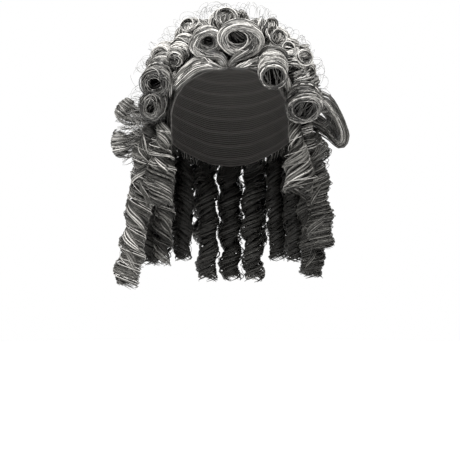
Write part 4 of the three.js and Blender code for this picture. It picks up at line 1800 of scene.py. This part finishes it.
@dataclass(frozen=True)
class Sweep:
    """A band of hair swept along the hairline, from one angle to another.

    reach is how far over the cap it lies, in degrees. A band that rises does so from the parting.
    """

    name: str
    start: float
    stop: float
    reach: float
    strands: int
    # light is the painted light on the band: a factor on its strands' tone.
    light: float = 1.0
    rises: bool = False


@dataclass
class SweptHair:
    """The bands of hair swept off the hairline."""

    sweeps: tuple[Sweep, ...] = (
        Sweep("sweep_front_left", -1, -50, 20, 92, rises=True),
        Sweep("sweep_front_right", 1, 46, 19, 92, rises=True),
        Sweep("sweep_side_left", -51, -66, 26, 70, 0.9),
        Sweep("sweep_side_right", 47, 64, 26, 70, 0.8),
    )
    steps: int = 26
    skin_gap: float = 0.001
    front_crest: float = 0.0024
    side_crest: float = 0.0012
    ripple: float = 0.0003

    def front(self, sweep: Sweep, rng: np.random.Generator, combed: Combing) -> np.ndarray:
        """Strands that leave the parting together and spread as they follow the hairline."""
        share = shares(self.steps)
        spread = ease(share / 0.8) * (0.94 + 0.06 * np.sin(TAU * 2 * share))
        around = blend(sweep.start, sweep.stop, share) + combed.sway(rng, self.steps, 1.2, 0.4, 1.2)
        foot = HEAD.edge(around) + SIZES.sweep_overhang * 0.6
        down = foot - sweep.reach * combed.place * spread + 1.1 * np.sin(TAU * 1.5 * share)
        body = SIZES.sweep_thickness * arch(np.clip(combed.place, 0.12, 1))
        out = HEAD.wall + self.skin_gap + body * (0.35 + 0.65 * spread) + self.front_crest * combed.crest
        return HEAD.point(around, down, out + drift(rng, combed.count, self.steps, self.ripple, 2))

    def side(self, sweep: Sweep, rng: np.random.Generator, combed: Combing) -> np.ndarray:
        """Strands that leave the side hairline and run back and down."""
        share = shares(self.steps)
        hand = np.sign(sweep.stop)
        start = blend(sweep.start - 5 * hand, sweep.stop, combed.place)
        around = start + hand * 7 * share + drift(rng, combed.count, self.steps, 0.5)
        down = HEAD.edge(start) + SIZES.sweep_overhang * 0.6 - sweep.reach * (1 - share)
        out = HEAD.wall + self.skin_gap + SIZES.sweep_thickness * arch(share) * 0.8
        return HEAD.point(around, down, out + self.side_crest * combed.crest)

    def build(self) -> None:
        """Builds each band as its own piece."""
        for number, sweep in enumerate(self.sweeps):
            rng = np.random.default_rng(1600 + number)
            combed = comb(rng, sweep.strands, 7)
            shape = self.front if sweep.rises else self.side
            paths = shape(sweep, rng, combed)
            # Painted shade: the band is painted darker where its strands start and along the edge where place
            # is low.
            painted_light = blend(0.5, 1, ease(2.5 * shares(self.steps))) * blend(0.6, 1, ease(3 * combed.place))
            piece = HairPiece.over(sweep.name)
            piece.strands(paths, SIZES.strand, combed.tone * sweep.light * painted_light, 1650 + number)
            piece.make()


@dataclass
class BaseHair:
    """The hair sewn over the cap, seen between the curls, painted dark as shade under them.

    Its painted light is light on the crown, low_light, painted darker as shade, below it and
    rear_light behind. overhang is how far it hangs past the cap's edge at the back, in degrees, and
    ripple how far it strays off the cap, in metres.
    """

    name: str = "weft_hair"
    columns: int = 230
    steps: int = 18
    light: float = 0.68
    low_light: float = 0.42
    rear_light: float = 0.85
    overhang: float = 5
    ripple: float = 0.0012
    seed: int = 1800

    def build(self) -> None:
        """Builds the strands from the crown down to just past the cap's edge."""
        rng = np.random.default_rng(self.seed)
        count, steps = self.columns, self.steps
        foot = (np.arange(count)[:, None] + each(rng, 0, 1, count)) * 360 / count
        top = each(rng, 4, 40, count)
        around = foot + drift(rng, count, steps, 2.2, 1.5)
        low = HEAD.edge(around) + np.where(np.abs(around - 180) < 115, self.overhang, 0)
        down = blend(top, low, shares(steps))
        out = HEAD.wall + SIZES.strand_gap + np.abs(drift(rng, count, steps, self.ripple, 2))
        tone = np.clip(0.5 + 0.2 * rng.normal(size=(count, 1)), 0.1, 1)
        # Painted shade: the sewn hair is painted darker low down and lighter at the back.
        painted_light = blend(self.light, self.low_light, ease((down - 60) / 30))
        painted_light = blend(painted_light, self.rear_light, ease((turned_from_brow(around) - 100) / 30))
        piece = HairPiece(self.name, Slot.SHADED)
        piece.strands(HEAD.point(around, down, out), SIZES.weft, tone * painted_light, self.seed + 1)
        piece.make()


@dataclass
class StrayHair:
    """Fine loose hairs that stand off the curls in loops.

    They start nearest off the cap, and wider more than that low down the sides. None start low on
    the brow, which reaches brow_clear degrees to each side.
    """

    name: str = "stray_hair"
    count: int = 190
    steps: int = 20
    width: float = 0.00024
    nearest: float = 0.023
    wider: float = 0.007
    brow_clear: float = 62
    smallest: float = 0.0045
    largest: float = 0.0115
    aside: float = 0.004
    seed: int = 1900

    def build(self) -> None:
        """Builds the loops over the crown and down the sides."""
        rng = np.random.default_rng(self.seed)
        share = np.linspace(0, 1, self.steps)[:, None]
        paths = []
        while len(paths) < self.count:
            around = rng.uniform(-180, 180) if len(paths) % 2 else rng.choice([-1, 1]) * rng.uniform(60, 110)
            down = rng.uniform(5, 100)
            if abs(around) < self.brow_clear and down > 45:
                continue
            seat = HEAD.seat(around, down)
            spread = unit(seat.sideways * rng.normal() + seat.downward * rng.normal() * 0.5)
            size = rng.uniform(self.smallest, self.largest) * np.array([1.0, rng.uniform(0.7, 1.4)])
            turned = math.pi * (rng.uniform(-0.3, 0.1) + rng.uniform(0.8, 1.5) * share)
            off = self.nearest + self.wider * ease((down - 35) / 30)
            base = seat.point + seat.outward * (off + rng.uniform(0, self.aside) * share)
            loop = seat.outward * size[0] * np.sin(turned) + spread * size[1] * np.cos(turned)
            aside = np.cross(seat.outward, spread) * self.aside * rng.normal() * np.sin(TAU * 0.7 * share)
            paths.append(base + loop + aside + spread * rng.normal() * self.aside * share ** 2)
        piece = HairPiece(self.name)
        piece.strands(np.array(paths), self.width, rng.uniform(0.3, 0.7, self.count), self.seed + 1)
        piece.make()


@dataclass
class NetCap:
    """The open cap that carries the hair.

    Its edge is turned over a binding, which swells it and hangs at most edge_drop degrees past it.
    lining is how far its inside lies off the hollow, in metres.
    """

    name: str = "net_cap"
    node: str = "cap"
    columns: int = 96
    rows: int = 28
    binding: float = 0.00036
    edge_drop: float = 0.7
    lining: float = 0.0002
    finish: NetFinish = NetFinish()

    def build(self) -> None:
        """Builds the cap as a thin shell from the crown over the edge and back inside."""
        around = np.arange(self.columns) * 360 / self.columns
        edge = HEAD.edge(around)
        share = np.linspace(0.02, 1, self.rows)
        half = HEAD.wall / 2
        rings = [HEAD.point(around, edge * down, HEAD.wall) for down in share]
        for turn in (TAU * 5 / 12, TAU * 7 / 12):
            out = half + (half + self.binding) * math.sin(turn)
            rings.append(HEAD.point(around, edge - self.edge_drop * math.cos(turn), out))
        rings += [HEAD.point(around, edge * down, self.lining) for down in share[::-1]]
        grid = np.array(rings)
        u = np.linspace(0.01, 0.99, self.columns + 1)
        v = np.linspace(0.03, 0.97, len(grid))
        i = np.arange(len(grid) - 1)[:, None]
        j = np.arange(self.columns)
        middle = (u[:-1] + u[1:]) / 2
        top = corner_chart([middle, u[:-1], u[1:]], [0.005, v[0], v[0]])
        low = corner_chart([middle, u[1:], u[:-1]], [0.995, v[-1], v[-1]])
        surface = Surface(
            np.concatenate([grid.reshape(-1, 3), grid[[0, -1]].mean(axis=1)]),
            tube_quads(np.zeros(1, int), len(grid), self.columns)[..., ::-1],
            end_fans(len(grid), self.columns)[:, [0, 2, 1]],
            corner_chart([u[j], u[j + 1], u[j + 1], u[j]], [v[i + 1], v[i + 1], v[i], v[i]]),
            np.concatenate([top, low]))
        settle(mesh_object(self.name, [surface], [self.finish]), [self.node])


@dataclass(frozen=True)
class Lamp:
    """A square soft light, with its place and the length of its side in metres and its power in watts."""

    name: str
    place: tuple[float, float, float]
    size: float
    power: float


@dataclass
class Studio:
    """The camera, the floor and the lights. Lengths are in metres, but the lens is in millimetres."""

    distance: float = 2.0
    eye_height: float = -0.2277
    lens: float = 136.0
    sensor: float = 36.0
    floor_height: float = -0.424
    floor_size: float = 1.1
    floor_sides: int = 96
    finish: FloorFinish = FloorFinish()
    aim_height: float = -0.12
    fill: float = 0.10
    lamps: tuple[Lamp, ...] = (
        Lamp("key_left", (-0.9, -1.2, 1.35), 0.6, 56),
        Lamp("key_right", (0.8, -1.2, 1.35), 0.6, 50),
        Lamp("top", (0.0, 0.2, 1.3), 0.9, 14),
        Lamp("back", (0.0, 1.6, 0.7), 0.9, 12),
    )

    @staticmethod
    def hang(name: str, data: bpy.types.ID) -> bpy.types.Object:
        """Puts a camera, a light or a mesh into the scene."""
        made = bpy.data.objects.new(name, data)
        bpy.context.scene.collection.objects.link(made)
        return made

    def camera(self) -> None:
        """Sets the camera level, straight in front of the face opening."""
        data = bpy.data.cameras.new("camera")
        data.lens = self.lens
        data.sensor_width = self.sensor
        made = self.hang("camera", data)
        made.location = (0, -self.distance, self.eye_height)
        made.rotation_euler = (math.pi / 2, 0, 0)
        bpy.context.scene.camera = made

    def floor(self) -> None:
        """Lays a round floor."""
        turn = TAU * np.arange(self.floor_sides) / self.floor_sides
        size, height = self.floor_size, self.floor_height
        corners = [(size * math.cos(angle), size * math.sin(angle), height) for angle in turn]
        mesh = bpy.data.meshes.new("floor")
        mesh.from_pydata(corners, [], [list(range(len(corners)))])
        mesh.materials.append(self.finish.material())
        self.hang("floor", mesh)

    def light(self, lamp: Lamp) -> None:
        """Hangs a lamp that looks at the wig."""
        data = bpy.data.lights.new(lamp.name, "AREA")
        data.size = lamp.size
        data.energy = lamp.power
        made = self.hang(lamp.name, data)
        made.location = lamp.place
        aim = Vector((0, 0, self.aim_height)) - Vector(lamp.place)
        made.rotation_euler = aim.to_track_quat("-Z", "Y").to_euler()

    def sky(self) -> None:
        """Fills the surroundings with even pale light, and shows them as white."""
        world = bpy.data.worlds.new("surroundings")
        bpy.context.scene.world = world
        world.use_nodes = True
        nodes, link = world.node_tree.nodes, world.node_tree.links.new
        mix = nodes.new("ShaderNodeMixShader")
        link(nodes.new("ShaderNodeLightPath").outputs["Is Camera Ray"], mix.inputs["Fac"])
        for number, strength in enumerate((self.fill, 1.0)):
            light = nodes.new("ShaderNodeBackground")
            light.inputs["Color"].default_value = (1, 1, 1, 1)
            light.inputs["Strength"].default_value = strength
            link(light.outputs["Background"], mix.inputs[1 + number])
        link(mix.outputs["Shader"], nodes["World Output"].inputs["Surface"])

    def build(self) -> None:
        """Sets up all of it."""
        self.camera()
        self.floor()
        for lamp in self.lamps:
            self.light(lamp)
        self.sky()
        bpy.context.scene.view_settings.view_transform = "Standard"


def triangles(piece: bpy.types.Object) -> int:
    """How many triangles a mesh has."""
    return sum(len(face.vertices) - 2 for face in piece.data.polygons)


def main() -> None:
    """Builds the wig and the studio round it."""
    logging.basicConfig(level=logging.INFO, format="%(message)s")
    groups = (
        Studio(), NetCap(), BaseHair(), SweptHair(), BrowHair(), CrestHair(), CrownHair(), RingletHair(),
        SideLoop(), StrayHair())
    for group in groups:
        group.build()
    shown = [piece for piece in bpy.data.objects if piece.type == "MESH" and not piece.hide_render]
    log.info("triangles in all: %d", sum(triangles(piece) for piece in shown))


if __name__ == "__main__":
    main()
